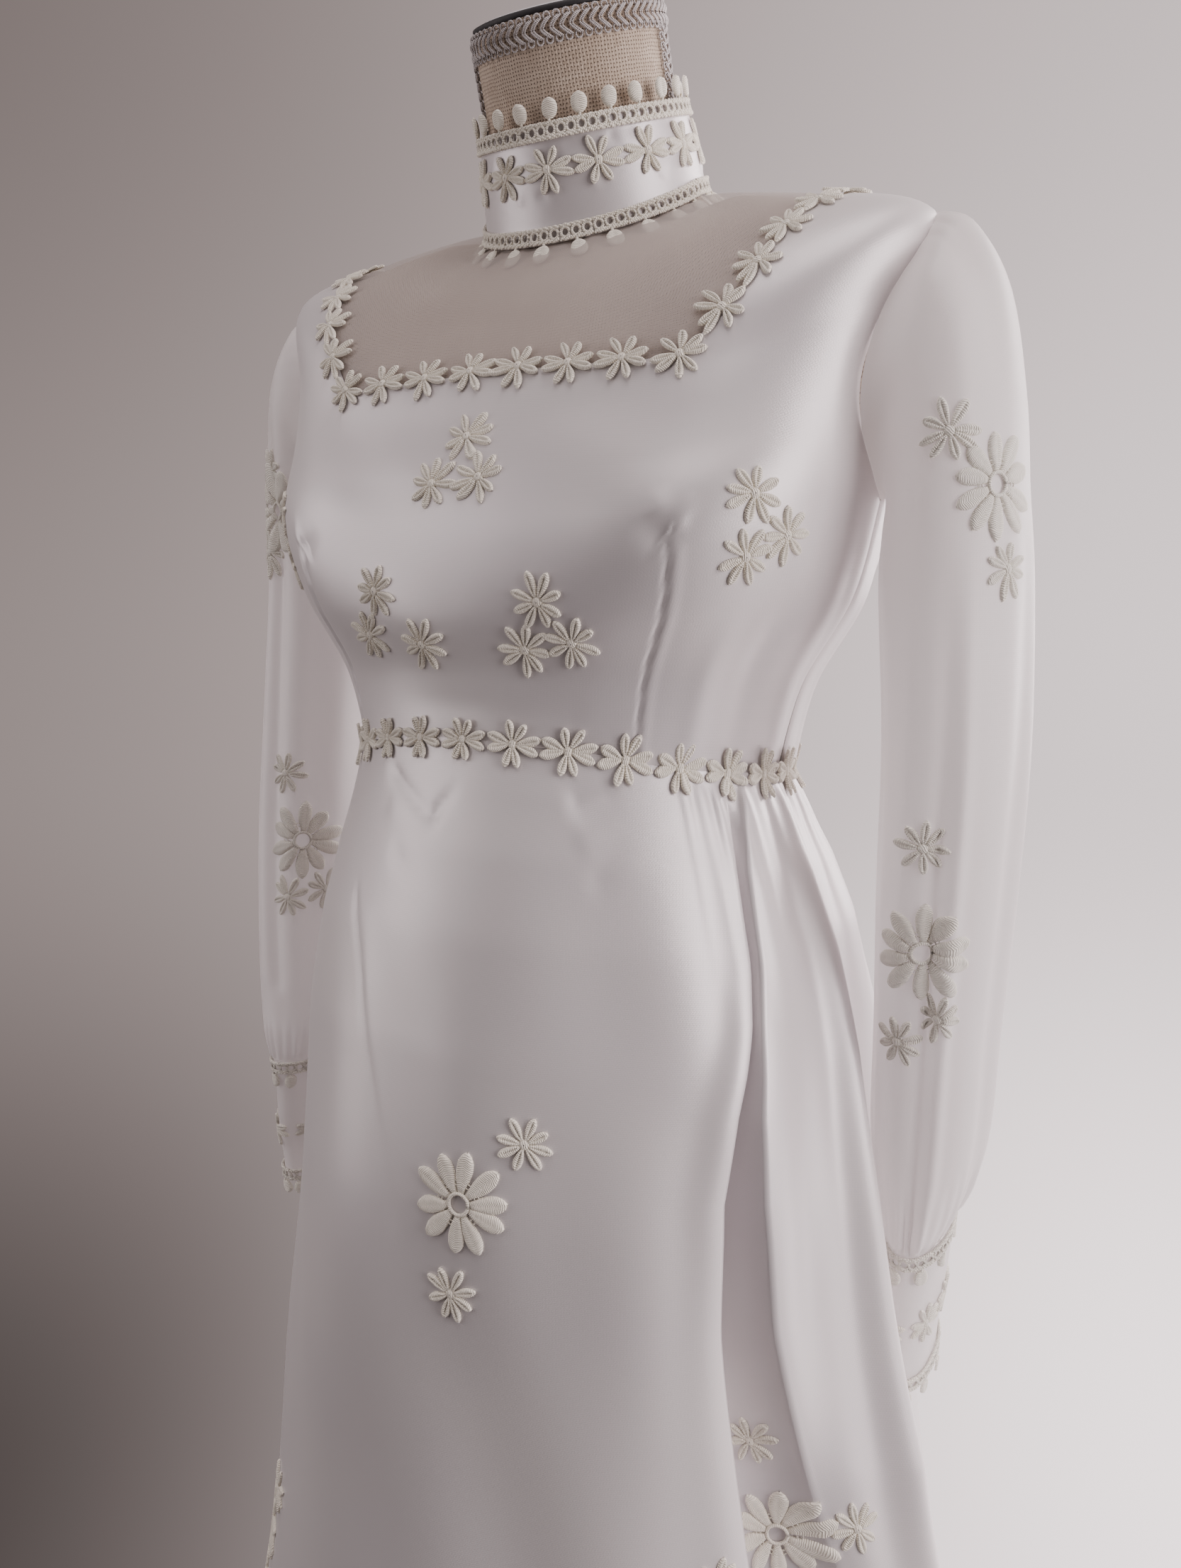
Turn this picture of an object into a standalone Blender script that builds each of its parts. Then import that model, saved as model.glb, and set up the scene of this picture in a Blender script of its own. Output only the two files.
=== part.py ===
"""Full-length satin wedding dress with sheer yoke, stand collar and long sleeves, on a limbless dress form.

The dress faces -Y and its own left side is +X. The origin is the middle of the stand's underside on the floor.
Every cloth piece is a thin closed wall laid out from a few tables of rings, and neighbours stay 0.3 mm apart.
Lengths in the tables are millimetres; the scene is in metres.
"""

import math

import bpy
import numpy as np

MM = 0.001
# Wall thicknesses: satin, the thinner cloth of yoke, collar and sleeves, and lace.
SATIN = 1.5
THIN = 1.0
LACE = 1.6
SEAM_GAP = 0.3
LACE_LIFT = 0.45
DAISY_PITCH = 25.4
# Half the height of a daisy in a chain, and of the joint between two.
DAISY_HALF = 11.8
DAISY_JOIN = 6
DROP_PITCH = 15.5

# The upper body, from the neck down to the raised waist seam.
# Columns: sideways shift, half width, depth in front, depth behind, middle y, height at the side, front
# and back, squareness of the outline, and bow, which says how fast the height changes from the side.
BODY_RINGS = (
    ("neck", 0, 57, 52.85, 52.85, 16, 1412, 1390.6, 1433.4, 2.0, 1.0),
    ("yoke_high", 0, 82, 70, 72, 9, 1408, 1370, 1417, 2.0, 1.3),
    ("yoke_mid", 2, 126, 80, 88, 6, 1398, 1343, 1386, 2.1, 1.7),
    ("shoulder_tip", 6, 174, 87, 100, 2, 1381, 1318, 1347, 2.25, 2.0),
    ("armhole_high", 7, 168, 97, 106, 1, 1342, 1291, 1312, 2.35, 2.0),
    ("armhole_low", 7, 160, 108, 109, 0, 1300, 1264, 1278, 2.4, 2.0),
    ("underarm", 7, 154, 115, 108, 0, 1262, 1238, 1246, 2.4, 2.0),
    ("bust", 5, 145, 114, 104, 0, 1217, 1207, 1208, 2.3, 2.0),
    ("under_bust", 2, 125, 107, 98, 1, 1175, 1178, 1168, 2.15, 2.0),
    ("waist_seam", 0, 115.5, 105, 97, 2, 1131, 1148, 1121, 2.05, 2.0),
)
NECK, TIP, UNDERARM, WAIST = 0.0, 3.0, 6.0, 9.0
BUST_ANGLE = 43
BUST_RING = 6.1
BUST_SPREAD = 21
BUST_RISE = 14

# The square neckline: ring position of the satin's upper edge by angle from the centre front.
SHOULDER_RING = 2.21
NECKLINE = (
    (0, 3.1),
    (10.5, 3.25),
    (18.5, 3.4),
    (28.3, 3.65),
    (32, 3.33),
    (37.2, 3.0),
    (46.2, 2.62),
    (60.5, 2.32),
    (90, SHOULDER_RING),
    (115, 2.36),
    (133, 2.56),
    (152, 3.0),
    (180, 3.0),
)
# How far the armhole bites into the panels, in degrees. Columns: ring, share of the deepest bite.
ARMHOLE = ((3.0, 0), (3.3, 0.44), (3.8, 0.81), (4.5, 1), (5.2, 0.81), (5.7, 0.44), (6.0, 0))
ARMHOLE_BITE = 18
SLEEVE_INSET = 1.2
SLEEVE_LIFT = 1.1

# The skirt, from the waist seam to the hem.
# Columns: height, sideways shift, half width, depth in front, depth behind, squareness of the back half.
SKIRT_RINGS = (
    (1131, 0, 115.5, 105, 97, 2.05),
    (1110, 2, 121, 112, 110, 2.1),
    (1084, 4, 129, 122, 131, 2.2),
    (1050, 5, 138, 132, 154, 2.35),
    (1000, 5, 147, 140, 179, 2.45),
    (930, 5, 153, 148, 206, 2.5),
    (840, 5, 157, 153, 232, 2.5),
    (740, 6, 169, 159, 256, 2.5),
    (600, 6, 190, 168, 279, 2.5),
    (440, 5, 213, 180, 297, 2.5),
    (280, 4, 233, 194, 308, 2.45),
    (130, 2, 248, 207, 315, 2.4),
    (20, 0, 259, 216, 320, 2.4),
)
SKIRT_COLUMNS = 76

# Gathers and hanging folds. Columns: angle at the waist and at the hem, half width in degrees at the
# waist and at the hem, rise near the waist, at mid height and at the hem.
FOLDS = (
    (60.5, 70, 3.6, 6, -4, -12, -9),
    (67, 79, 4, 7, 4, 10, 15),
    (76, 81, 4, 8, -2.0, 17, -5),
    (84, 88.5, 3.8, 6, 7.0, 38, 15),
    (93, 106, 3.5, 8, -2.0, -6, -7),
    (102, 118, 4, 8, 2.6, -1, 13),
    (111, 128, 4, 8, 2.4, 7, 13),
    (122, 139, 4.5, 8, 2.8, 9, 15),
    (133, 149, 4, 7, 2.4, 8, 13),
    (144, 158, 4.5, 7, 2.8, 9, 15),
    (155, 167, 4, 6, 2.4, 8, 13),
    (167, 175, 4, 5, 2.6, 8, 13),
    (-61, -69, 3.8, 6, -2.4, -6, -8),
    (-68, -79, 4, 8, 3.2, 8, 13),
    (-77, -90, 4, 8, -2.2, -5, -7),
    (-86, -101, 3.5, 8, 2.4, 3, 11),
    (-96, -112, 4, 8, 2.6, 4, 13),
    (-106, -124, 4, 8, 2.4, 8, 14),
    (-118, -136, 4.5, 8, 2.8, 9, 13),
    (-130, -147, 4, 7, 2.4, 8, 15),
    (-142, -158, 4.5, 7, 2.6, 9, 13),
    (-155, -169, 4, 6, 2.4, 8, 14),
)

# The sleeves below their seams. Columns: middle x on its own side, y and height, half thickness from the
# inner to the outer side, half width from front to back, how far the ring has turned to level, and how
# steeply it rises towards the back.
LEFT_SLEEVE_RINGS = (
    (180.7, 2, 1318, 58.3, 46, 16, 0),
    (189, 2, 1304.4, 49.7, 47, 27, 0),
    (193.7, 3, 1278, 36.5, 47, 47, 0),
    (194.5, 4, 1252, 31.8, 47, 68, 0),
    (195.5, 6, 1220, 32, 47, 86, 0),
    (198, 10, 1150, 31, 46, 90, 0),
    (196, 16, 1080, 30, 44, 90, 0),
    (193, 26, 1010, 28, 41, 90, 0.05),
    (190, 37, 952, 27, 39, 90, 0.15),
    (188, 45, 920, 22, 36, 90, 0.28),
    (186, 50, 898.4, 14.7, 32.7, 90, 0.33),
)
RIGHT_SLEEVE_RINGS = (
    (164.6, 2, 1318, 57.6, 44, 14, 0),
    (171.2, 2, 1304, 47.7, 45, 23, 0),
    (174, 5, 1276, 30.8, 45, 44, 0),
    (175.2, 8, 1251, 25.6, 45, 67, 0),
    (178, 12, 1220, 27, 46, 86, 0),
    (186, 14, 1150, 29, 46, 90, 0),
    (192, 12, 1080, 31, 44, 90, 0),
    (193, 6, 1015, 29, 40, 90, 0),
    (190, 1, 968, 27, 38, 90, 0),
    (187, -3, 950, 22, 36, 90, 0),
    (185, -6, 934.3, 14.7, 32.7, 90, 0),
)
SLEEVE_COLUMNS = 24
# The cuffs' upper and wrist edges.
# Columns: middle x on its own side, y, height, half thickness, half width, rise towards the back.
LEFT_CUFF = ((186, 50, 898, 14.5, 32.5, 0.33), (181, 57, 810, 11.5, 30.5, 0.14))
RIGHT_CUFF = ((185, -6, 934, 14.5, 32.5, 0), (191, 6, 850, 11.5, 30.5, 0))

# The stand collar leans forward with the neck. Columns: height along the neck, radius.
COLLAR_RINGS = ((1.4, 57), (14, 55.6), (30, 53.4), (44, 51.4))
# The collar's lace, by height along the neck: the bands and tips of its edgings, and the chain's middle.
COLLAR_TOP_BAND = (37, 44.5)
COLLAR_TOP_TIPS = 54
COLLAR_BASE_BAND = (13, 7)
COLLAR_BASE_TIPS = 1.5
COLLAR_CHAIN = 25
# How far down the cuff its daisy chain lies.
CUFF_CHAIN = 48
NECK_LEAN = 22
NECK_BASE = (0, 16, 1412)
# The form's neck. Columns: height along the neck, radius.
FORM_NECK = ((88, 46.5), (50, 47.2), (15, 50.5), (-4, 53))

FORM_COLUMNS = 26
# The clearance where the dress hangs on the form's shoulders.
FORM_TOUCH = 0.9
# Where the form follows the upper body's rings.
FORM_BODY_RINGS = (1, 1.5, 2, 2.5, 3, 3.6, 4.3, 5, 6, 7, 8, 8.8)
# The form below the waist. Columns: height, half width, depth in front, depth behind.
FORM_HIPS = (
    (1090, 109, 100, 96),
    (1040, 118, 104, 110),
    (980, 129, 108, 122),
    (920, 134, 110, 126),
    (870, 133, 108, 122),
    (850, 128, 104, 117),
)
POLE_RADIUS = 14
BASE_RADIUS = 165
BASE_HEIGHT = 14
POLE_SIDES = 20
BASE_SIDES = 32


def clear_scene():
    for thing in list(bpy.data.objects):
        bpy.data.objects.remove(thing, do_unlink=True)


def material(name, colour, roughness, metallic=0.0):
    made = bpy.data.materials.new(name)
    made.use_nodes = True
    shader = made.node_tree.nodes["Principled BSDF"]
    shader.inputs["Base Color"].default_value = (*colour, 1.0)
    shader.inputs["Roughness"].default_value = roughness
    shader.inputs["Metallic"].default_value = metallic
    return made


def add_object(name, points, faces, made_of):
    """One named mesh from points in millimetres."""
    mesh = bpy.data.meshes.new(name)
    mesh.from_pydata([tuple(p) for p in np.asarray(points) * MM], [], faces)
    mesh.update()
    for face in mesh.polygons:
        face.use_smooth = True
    mesh.materials.append(made_of)
    thing = bpy.data.objects.new(name, mesh)
    bpy.context.scene.collection.objects.link(thing)


def smooth_row(values, at):
    """A smooth curve through evenly spaced rows, read at a position that may lie between two."""
    last = len(values) - 1
    at = min(max(at, 0.0), float(last))
    low = min(int(at), last - 1)
    part = at - low
    before = values[max(low - 1, 0)]
    first = values[low]
    second = values[low + 1]
    after = values[min(low + 2, last)]
    rise_first = (second - before) / 2
    rise_second = (after - first) / 2
    return (
        first * (1 + 2 * part) * (1 - part) ** 2
        + rise_first * part * (1 - part) ** 2
        + second * part * part * (3 - 2 * part)
        + rise_second * part * part * (part - 1)
    )


def signed_power(value, power):
    return math.copysign(abs(value) ** power, value)


BODY_TABLE = np.array([row[1:] for row in BODY_RINGS], float)


def body_point(angle, ring):
    """A point of the upper body; angle in degrees from the centre front towards the dress's left."""
    row = smooth_row(BODY_TABLE, ring)
    sideways, half_width, front, back, middle, side_z, front_z, back_z, square, bow = row
    turn = math.radians(angle)
    across = signed_power(math.sin(turn), 2 / square)
    along = signed_power(math.cos(turn), 2 / square)
    if along > 0:
        depth, end_z = front, front_z
    else:
        depth, end_z = back, back_z
    height = side_z + (end_z - side_z) * abs(math.cos(turn)) ** bow
    point = np.array([sideways + half_width * across, middle - depth * along, height])
    rise = 0.0
    for side in (-1, 1):
        off = (angle - side * BUST_ANGLE) / BUST_SPREAD
        rise += BUST_RISE * math.exp(-off * off - ((ring - BUST_RING) / 1.15) ** 2)
    outward = np.array([math.sin(turn) * 0.5, -math.cos(turn), 0.0])
    return point + outward * rise


def normal_of(surface, first, second, step_first, step_second, outward_from):
    """The outward normal of a surface given by two parameters."""
    along = surface(first + step_first, second) - surface(first - step_first, second)
    down = surface(first, second + step_second) - surface(first, second - step_second)
    normal = np.cross(down, along)
    normal /= np.linalg.norm(normal)
    point = surface(first, second)
    if np.dot(normal, point - outward_from) < 0:
        normal = -normal
    return normal


def waist_normal(angle):
    """The level outward direction at the waist seam, shared by the bodice and the skirt."""
    tangent = body_point(angle + 1, WAIST) - body_point(angle - 1, WAIST)
    normal = np.array([tangent[1], -tangent[0], 0.0])
    return normal / np.linalg.norm(normal)


def body_normal(angle, ring):
    if ring > WAIST - 0.001:
        return waist_normal(angle)
    core = np.array([0.0, 5.0, min(1290.0, body_point(angle, ring)[2] - 40)])
    held = min(max(ring, 0.02), WAIST - 0.02)
    return normal_of(body_point, angle, held, 0.5, 0.02, core)


def neckline_ring(angle):
    angles = [row[0] for row in NECKLINE]
    rings = [row[1] for row in NECKLINE]
    return float(np.interp(abs(angle), angles, rings))


def armhole_reach(ring):
    """How far, in degrees, the armhole bites into a panel at this ring."""
    rings, shares = zip(*ARMHOLE)
    return ARMHOLE_BITE * float(np.interp(ring, rings, shares))


def grid_normals(grid, around):
    """Normals of a grid of points by the difference of neighbours; around closes its columns."""
    rows, columns, _ = grid.shape
    if around:
        along = np.roll(grid, -1, 1) - np.roll(grid, 1, 1)
    else:
        along = np.gradient(grid, axis=1)
    down = np.gradient(grid, axis=0)
    normals = np.cross(down, along)
    return normals / np.linalg.norm(normals, axis=2, keepdims=True)


def pull_edges(grid, by, keep_last_row=False):
    """Moves the edges of a grid inwards along the cloth, which leaves the seam gap."""
    grid = grid.copy()
    moves = [
        ((0, slice(None)), (1, slice(None))),
        ((-1, slice(None)), (-2, slice(None))),
        ((slice(None), 0), (slice(None), 1)),
        ((slice(None), -1), (slice(None), -2)),
    ]
    if keep_last_row:
        del moves[1]
    for edge, inner in moves:
        step = grid[inner] - grid[edge]
        grid[edge] = grid[edge] + by * step / np.linalg.norm(step, axis=-1, keepdims=True)
    return grid


def facing_out(points, faces):
    """The faces, turned over if they enclose a negative volume."""
    corners = points[np.array(faces)]
    volume = np.einsum("ij,ij->i", corners[:, 0], np.cross(corners[:, 1], corners[:, 2])).sum()
    return [face[::-1] for face in faces] if volume < 0 else faces


def wall(name, inner, outer, made_of, around=False):
    """A closed wall between an inner and an outer grid of the same shape."""
    rows, columns, _ = inner.shape
    count = rows * columns
    faces = []

    def inside(row, column):
        return row * columns + column % columns

    def outside(row, column):
        return count + inside(row, column)

    spans = columns if around else columns - 1
    for row in range(rows - 1):
        for column in range(spans):
            a, b = inside(row, column), inside(row, column + 1)
            c, d = inside(row + 1, column + 1), inside(row + 1, column)
            faces.append((a, b, c))
            faces.append((a, c, d))
            faces.append((count + a, count + c, count + b))
            faces.append((count + a, count + d, count + c))
    for column in range(spans):
        for row, order in ((0, 1), (rows - 1, -1)):
            a, b = inside(row, column), inside(row, column + 1)
            quad = (a, count + a, count + b, b)[::order]
            faces.append((quad[0], quad[1], quad[2]))
            faces.append((quad[0], quad[2], quad[3]))
    if not around:
        for row in range(rows - 1):
            for column, order in ((0, -1), (columns - 1, 1)):
                a, b = inside(row, column), inside(row + 1, column)
                quad = (a, count + a, count + b, b)[::order]
                faces.append((quad[0], quad[1], quad[2]))
                faces.append((quad[0], quad[2], quad[3]))
    points = np.concatenate([inner.reshape(-1, 3), outer.reshape(-1, 3)])
    add_object(name, points, facing_out(points, faces), made_of)


def front_cell(across, down, top_of, bottom_of):
    """Angle and ring of a place on a front panel; across runs from -1 to 1 and down from 0 to 1."""
    angle = across * 90.0
    for _ in range(12):
        ring = top_of(angle) + (bottom_of(angle) - top_of(angle)) * down
        angle = across * (90.0 - armhole_reach(ring))
    return angle, ring


def back_cell(across, down, top_of, bottom_of):
    """The same on the left back panel; across runs from 0 at the side to 1 at the centre back."""
    angle = 90.0 + across * 90.0
    for _ in range(12):
        ring = top_of(angle) + (bottom_of(angle) - top_of(angle)) * down
        side = 90.0 + armhole_reach(ring)
        angle = side + across * (180.0 - side)
    return angle, ring


def body_grids(cell, acrosses, downs, top_of, bottom_of, side=1):
    """Inner grid and normals of a panel laid out by cell; side -1 lays it out on the dress's right."""
    cells = [[cell(a, d, top_of, bottom_of) for a in acrosses] for d in downs]
    points = np.array([[body_point(side * angle, ring) for angle, ring in row] for row in cells])
    normals = np.array([[body_normal(side * angle, ring) for angle, ring in row] for row in cells])
    return pull_edges(points, SEAM_GAP / 2), normals


ZIP_RINGS = (0.3, 1, 2, 3, 4, 5, 6, 7, 8, 8.8)
ZIP_SET_BACK = 0.9
FRONT_ACROSS = (
    -1, -0.93, -0.84, -0.74, -0.64, -0.56, -0.49, -0.42, -0.352, -0.24, -0.12,
    0, 0.12, 0.24, 0.352, 0.42, 0.49, 0.56, 0.64, 0.74, 0.84, 0.93, 1,
)
BACK_ACROSS = (0, 0.1, 0.22, 0.34, 0.46, 0.6, 0.75, 0.88, 1)
ARMHOLE_DOWN = [(ring - SHOULDER_RING) / (WAIST - SHOULDER_RING) for ring, _ in ARMHOLE]
SATIN_DOWN = (0, *ARMHOLE_DOWN, 0.67, 0.78, 0.89, 1)
YOKE_DOWN = (0, 0.2, 0.42, 0.66, 1)


def top_at_neck(angle):
    return NECK


def bottom_at_waist(angle):
    return WAIST


def make_bodice(satin, sheer):
    """The satin front and backs under the square neckline, and the sheer yoke above it."""
    layers = (
        ("bodice", SATIN_DOWN, neckline_ring, bottom_at_waist, SATIN, satin),
        ("yoke", YOKE_DOWN, top_at_neck, neckline_ring, THIN, sheer),
    )
    for name, downs, top_of, bottom_of, thick, made_of in layers:
        inner, normals = body_grids(front_cell, FRONT_ACROSS, downs, top_of, bottom_of)
        wall(name + "_front", inner, inner + normals * thick, made_of)
        for side, word in ((1, "left"), (-1, "right")):
            inner, normals = body_grids(back_cell, BACK_ACROSS, downs, top_of, bottom_of, side)
            wall(f"{name}_back_{word}", inner, inner + normals * thick, made_of)


def neck_point(angle, height, radius):
    """A point round the leaning neck; height is measured along the neck from its foot."""
    lean = math.radians(NECK_LEAN)
    turn = math.radians(angle)
    axis = np.array([0, -math.sin(lean), math.cos(lean)])
    behind = np.array([0, math.cos(lean), math.sin(lean)])
    side = np.array([1.0, 0, 0])
    middle = np.array(NECK_BASE, float)
    return middle + height * axis + radius * (math.sin(turn) * side - math.cos(turn) * behind)


def open_turn(columns, radius):
    """Angles once round from the centre back, leaving the seam gap there."""
    slit = math.degrees(SEAM_GAP / radius)
    return np.linspace(-180 + slit, 180 - slit, columns)


def make_collar(satin):
    angles = open_turn(41, COLLAR_RINGS[0][1])
    inner = np.array([[neck_point(a, h, r) for a in angles] for h, r in COLLAR_RINGS])
    outer = np.array([[neck_point(a, h, r + THIN) for a in angles] for h, r in COLLAR_RINGS])
    wall("collar", inner, outer, satin)


def strip(name, surface, stations, edges, lift, thick, made_of, around=False):
    """A lace strip: surface(station, across, lift) is read at each station between its two edges."""
    inner = np.array([[surface(s, e[k], lift) for s, e in zip(stations, edges)] for k in (0, 1)])
    outer = np.array([[surface(s, e[k], lift + thick) for s, e in zip(stations, edges)] for k in (0, 1)])
    wall(name, inner, outer, made_of, around)


def drop_edges(count, band, reach):
    """Edges of an edging with hanging drops: for each drop a notch and two points of the drop."""
    low, high = band
    rows = []
    for _ in range(count):
        rows.append((low, high))
        rows.append((low, reach))
        rows.append((low, reach))
    return rows


DROP_STATIONS = (0.0, 0.3, 0.7)


def drop_stations(count, start, end):
    pitch = (end - start) / count
    return [start + (k + part) * pitch for k in range(count) for part in DROP_STATIONS]


def daisy_edges(count, half_height, half_join):
    rows = []
    for _ in range(count):
        for half in (half_join, half_height * 0.9, half_height, half_height * 0.9):
            rows.append((-half, half))
    return rows


def even_stations(count, parts, start, end):
    return [start + (end - start) * k / (count * parts) for k in range(count * parts)]


def make_collar_lace(lace):
    def on_collar(angle, height, lift):
        heights = [row[0] for row in COLLAR_RINGS]
        radii = [row[1] for row in COLLAR_RINGS]
        radius = float(np.interp(height, heights, radii))
        return neck_point(angle, height, radius + THIN + lift)

    slit = math.degrees(SEAM_GAP / COLLAR_RINGS[0][1])
    count = round(2 * math.pi * COLLAR_RINGS[0][1] / DROP_PITCH)
    stations = drop_stations(count, -180 + slit, 180 - slit) + [180 - slit]
    up = drop_edges(count, COLLAR_TOP_BAND, COLLAR_TOP_TIPS) + [COLLAR_TOP_BAND]
    down = drop_edges(count, COLLAR_BASE_BAND, COLLAR_BASE_TIPS) + [COLLAR_BASE_BAND]
    strip("collar_top_edging", on_collar, stations, up, LACE_LIFT, LACE, lace)
    strip("collar_base_edging", on_collar, stations, down, LACE_LIFT, LACE, lace)
    count = round(2 * math.pi * COLLAR_RINGS[1][1] / DAISY_PITCH)
    stations = even_stations(count, 4, -180 + slit, 180 - slit) + [180 - slit]
    edges = [(COLLAR_CHAIN + a, COLLAR_CHAIN + b) for a, b in daisy_edges(count, 11.2, DAISY_JOIN)]
    edges.append(edges[0])
    strip("collar_daisy_trim", on_collar, stations, edges, LACE_LIFT, LACE, lace)


def settle(surface, target, start, steps):
    """The parameters whose surface point lies nearest the target, by a few least-squares steps."""
    first, second = start
    for _ in range(8):
        here = surface(first, second)
        along = (surface(first + steps[0], second) - here) / steps[0]
        down = (surface(first, second + steps[1]) - here) / steps[1]
        matrix = np.stack([along, down], axis=1)
        move, *_ = np.linalg.lstsq(matrix, target - here, rcond=None)
        first += float(np.clip(move[0], -10 * steps[0], 10 * steps[0]))
        second += float(np.clip(move[1], -10 * steps[1], 10 * steps[1]))
    return first, second


def make_neckline_trim(lace):
    """The daisy chain along the satin's upper edge, over the shoulders and across the back."""
    dense = np.linspace(-179.6, 179.6, 721)
    path = np.array([body_point(a, neckline_ring(a)) for a in dense])
    length = np.concatenate([[0], np.cumsum(np.linalg.norm(np.diff(path, axis=0), axis=1))])
    count = int(round(length[-1] / DAISY_PITCH))
    stations = np.linspace(0, length[-1], count * 4 + 1)

    def on_body(station, across, lift):
        angle = float(np.interp(station, length, dense))
        ahead = float(np.interp(station + 6, length, dense))
        behind = float(np.interp(station - 6, length, dense))
        point = body_point(angle, neckline_ring(angle))
        tangent = body_point(ahead, neckline_ring(ahead)) - body_point(behind, neckline_ring(behind))
        normal = body_normal(angle, neckline_ring(angle))
        side = np.cross(normal, tangent / np.linalg.norm(tangent))
        start = (angle, neckline_ring(angle))
        place = settle(body_point, point + side * across, start, (0.4, 0.02))
        return body_point(*place) + body_normal(*place) * (SATIN + lift)

    edges = daisy_edges(count, DAISY_HALF, DAISY_JOIN)
    edges.append(edges[0])
    strip("neckline_daisy_trim", on_body, stations, edges, LACE_LIFT + 0.6, LACE, lace)


SKIRT_TABLE = np.array([row[1:] for row in SKIRT_RINGS], float)
SKIRT_HEIGHTS = [row[0] for row in SKIRT_RINGS]


def skirt_ring(height):
    """Position in the skirt's table for a height at the side."""
    return float(np.interp(-height, [-z for z in SKIRT_HEIGHTS], range(len(SKIRT_HEIGHTS))))


def fold_rise(angle, drop):
    """How far the gathers and folds stand out; drop runs from 0 at the waist to 1 at the hem."""
    rise = 0.0
    for top, hem, wide_top, wide_hem, near, mid, low in FOLDS:
        centre = top + (hem - top) * min(1.0, drop * 1.6) ** 0.8
        width = wide_top + (wide_hem - wide_top) * min(1.0, drop * 1.4)
        away = (angle - centre + 180) % 360 - 180
        if abs(away) > 2.6 * width:
            continue
        height = float(np.interp(drop, (0, 0.012, 0.06, 0.3, 0.45, 1), (0, 0.2 * near, near, mid, mid, low)))
        rise += height * math.exp(-((away / width) ** 2))
    return rise


def skirt_point(angle, drop):
    """A point of the skirt's inner side; drop runs from 0 at the waist seam to 1 at the hem."""
    top = SKIRT_HEIGHTS[0]
    side_z = top + (SKIRT_HEIGHTS[-1] - top) * drop
    sideways, half_width, front, back, back_square = smooth_row(SKIRT_TABLE, skirt_ring(side_z))
    turn = math.radians(angle)
    square = 2.05 if math.cos(turn) > 0 else back_square
    across = signed_power(math.sin(turn), 2 / square)
    along = signed_power(math.cos(turn), 2 / square)
    depth = front if along > 0 else back
    seam_z = body_point(angle, WAIST)[2]
    height = side_z + (seam_z - top) * (1 - drop) ** 4
    middle = BODY_TABLE[-1][4] * (1 - drop)
    point = np.array([sideways + half_width * across, middle - depth * along, height])
    outward = np.array([math.sin(turn), -math.cos(turn), 0.0])
    return point + outward * fold_rise(angle, drop)


def skirt_normal(angle, drop):
    if drop < 0.001:
        return waist_normal(angle)
    held = min(max(drop, 0.003), 0.997)
    core = np.array([0.0, 0.0, skirt_point(angle, drop)[2]])
    return normal_of(skirt_point, angle, held, 0.5, 0.003, core)


SKIRT_DROPS = (0, 0.014, 0.035, 0.065, 0.105, 0.16, 0.23, 0.31, 0.4, 0.5, 0.61, 0.73, 0.86, 1)


def make_skirt(satin):
    def panel(name, angles):
        points = np.array([[skirt_point(a, d) for a in angles] for d in SKIRT_DROPS])
        normals = np.array([[skirt_normal(a, d) for a in angles] for d in SKIRT_DROPS])
        inner = pull_edges(points, SEAM_GAP / 2, True)
        wall(name, inner, inner + normals * SATIN, satin)

    panel("skirt_front", np.linspace(-90, 90, SKIRT_COLUMNS // 2 + 1))
    panel("skirt_back_left", np.linspace(90, 180, SKIRT_COLUMNS // 4 + 1))
    panel("skirt_back_right", np.linspace(-180, -90, SKIRT_COLUMNS // 4 + 1))


def make_waist_trim(lace):
    angles = np.linspace(-179.7, 179.7, 721)
    path = np.array([body_point(a, WAIST) for a in angles])
    length = np.concatenate([[0], np.cumsum(np.linalg.norm(np.diff(path, axis=0), axis=1))])
    count = int(round(length[-1] / DAISY_PITCH))
    places = np.interp(np.linspace(0, length[-1], count * 4 + 1), length, angles)

    def over_seam(angle, across, lift):
        turn = math.radians(angle)
        outward = np.array([math.sin(turn), -math.cos(turn), 0.0])
        if across > 0:
            ring = WAIST - across / 47.0
            return body_point(angle, ring) + body_normal(angle, ring) * (SATIN + lift)
        drop = -across / (SKIRT_HEIGHTS[0] - SKIRT_HEIGHTS[-1])
        flare = outward * 1.2 * (-across / DAISY_HALF)
        return skirt_point(angle, drop) + outward * (SATIN + lift) + flare

    edges = daisy_edges(count, DAISY_HALF, DAISY_JOIN)
    edges.append(edges[0])
    strip("waist_daisy_trim", over_seam, places, edges, LACE_LIFT, LACE, lace)


def armhole_point(turn):
    """A point on the left armhole's edge; turn runs 0 at the shoulder, 90 in front, 180 underneath."""
    part = (1 - math.cos(math.radians(turn))) / 2
    ring = TIP + (UNDERARM - TIP) * part
    if turn % 360 <= 180:
        angle = 90.0 - armhole_reach(ring)
    else:
        angle = 90.0 + armhole_reach(ring)
    return angle, ring


def flat_outward(row):
    """Unit directions away from the middle of a closed row of points, in the row's own plane."""
    along = np.roll(row, -1, 0) - np.roll(row, 1, 0)
    level = np.cross(along[0], along[len(row) // 4])
    out = np.cross(along, level)
    out /= np.linalg.norm(out, axis=1, keepdims=True)
    if np.dot(out[0], row[0] - row.mean(axis=0)) < 0:
        out = -out
    return out


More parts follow.
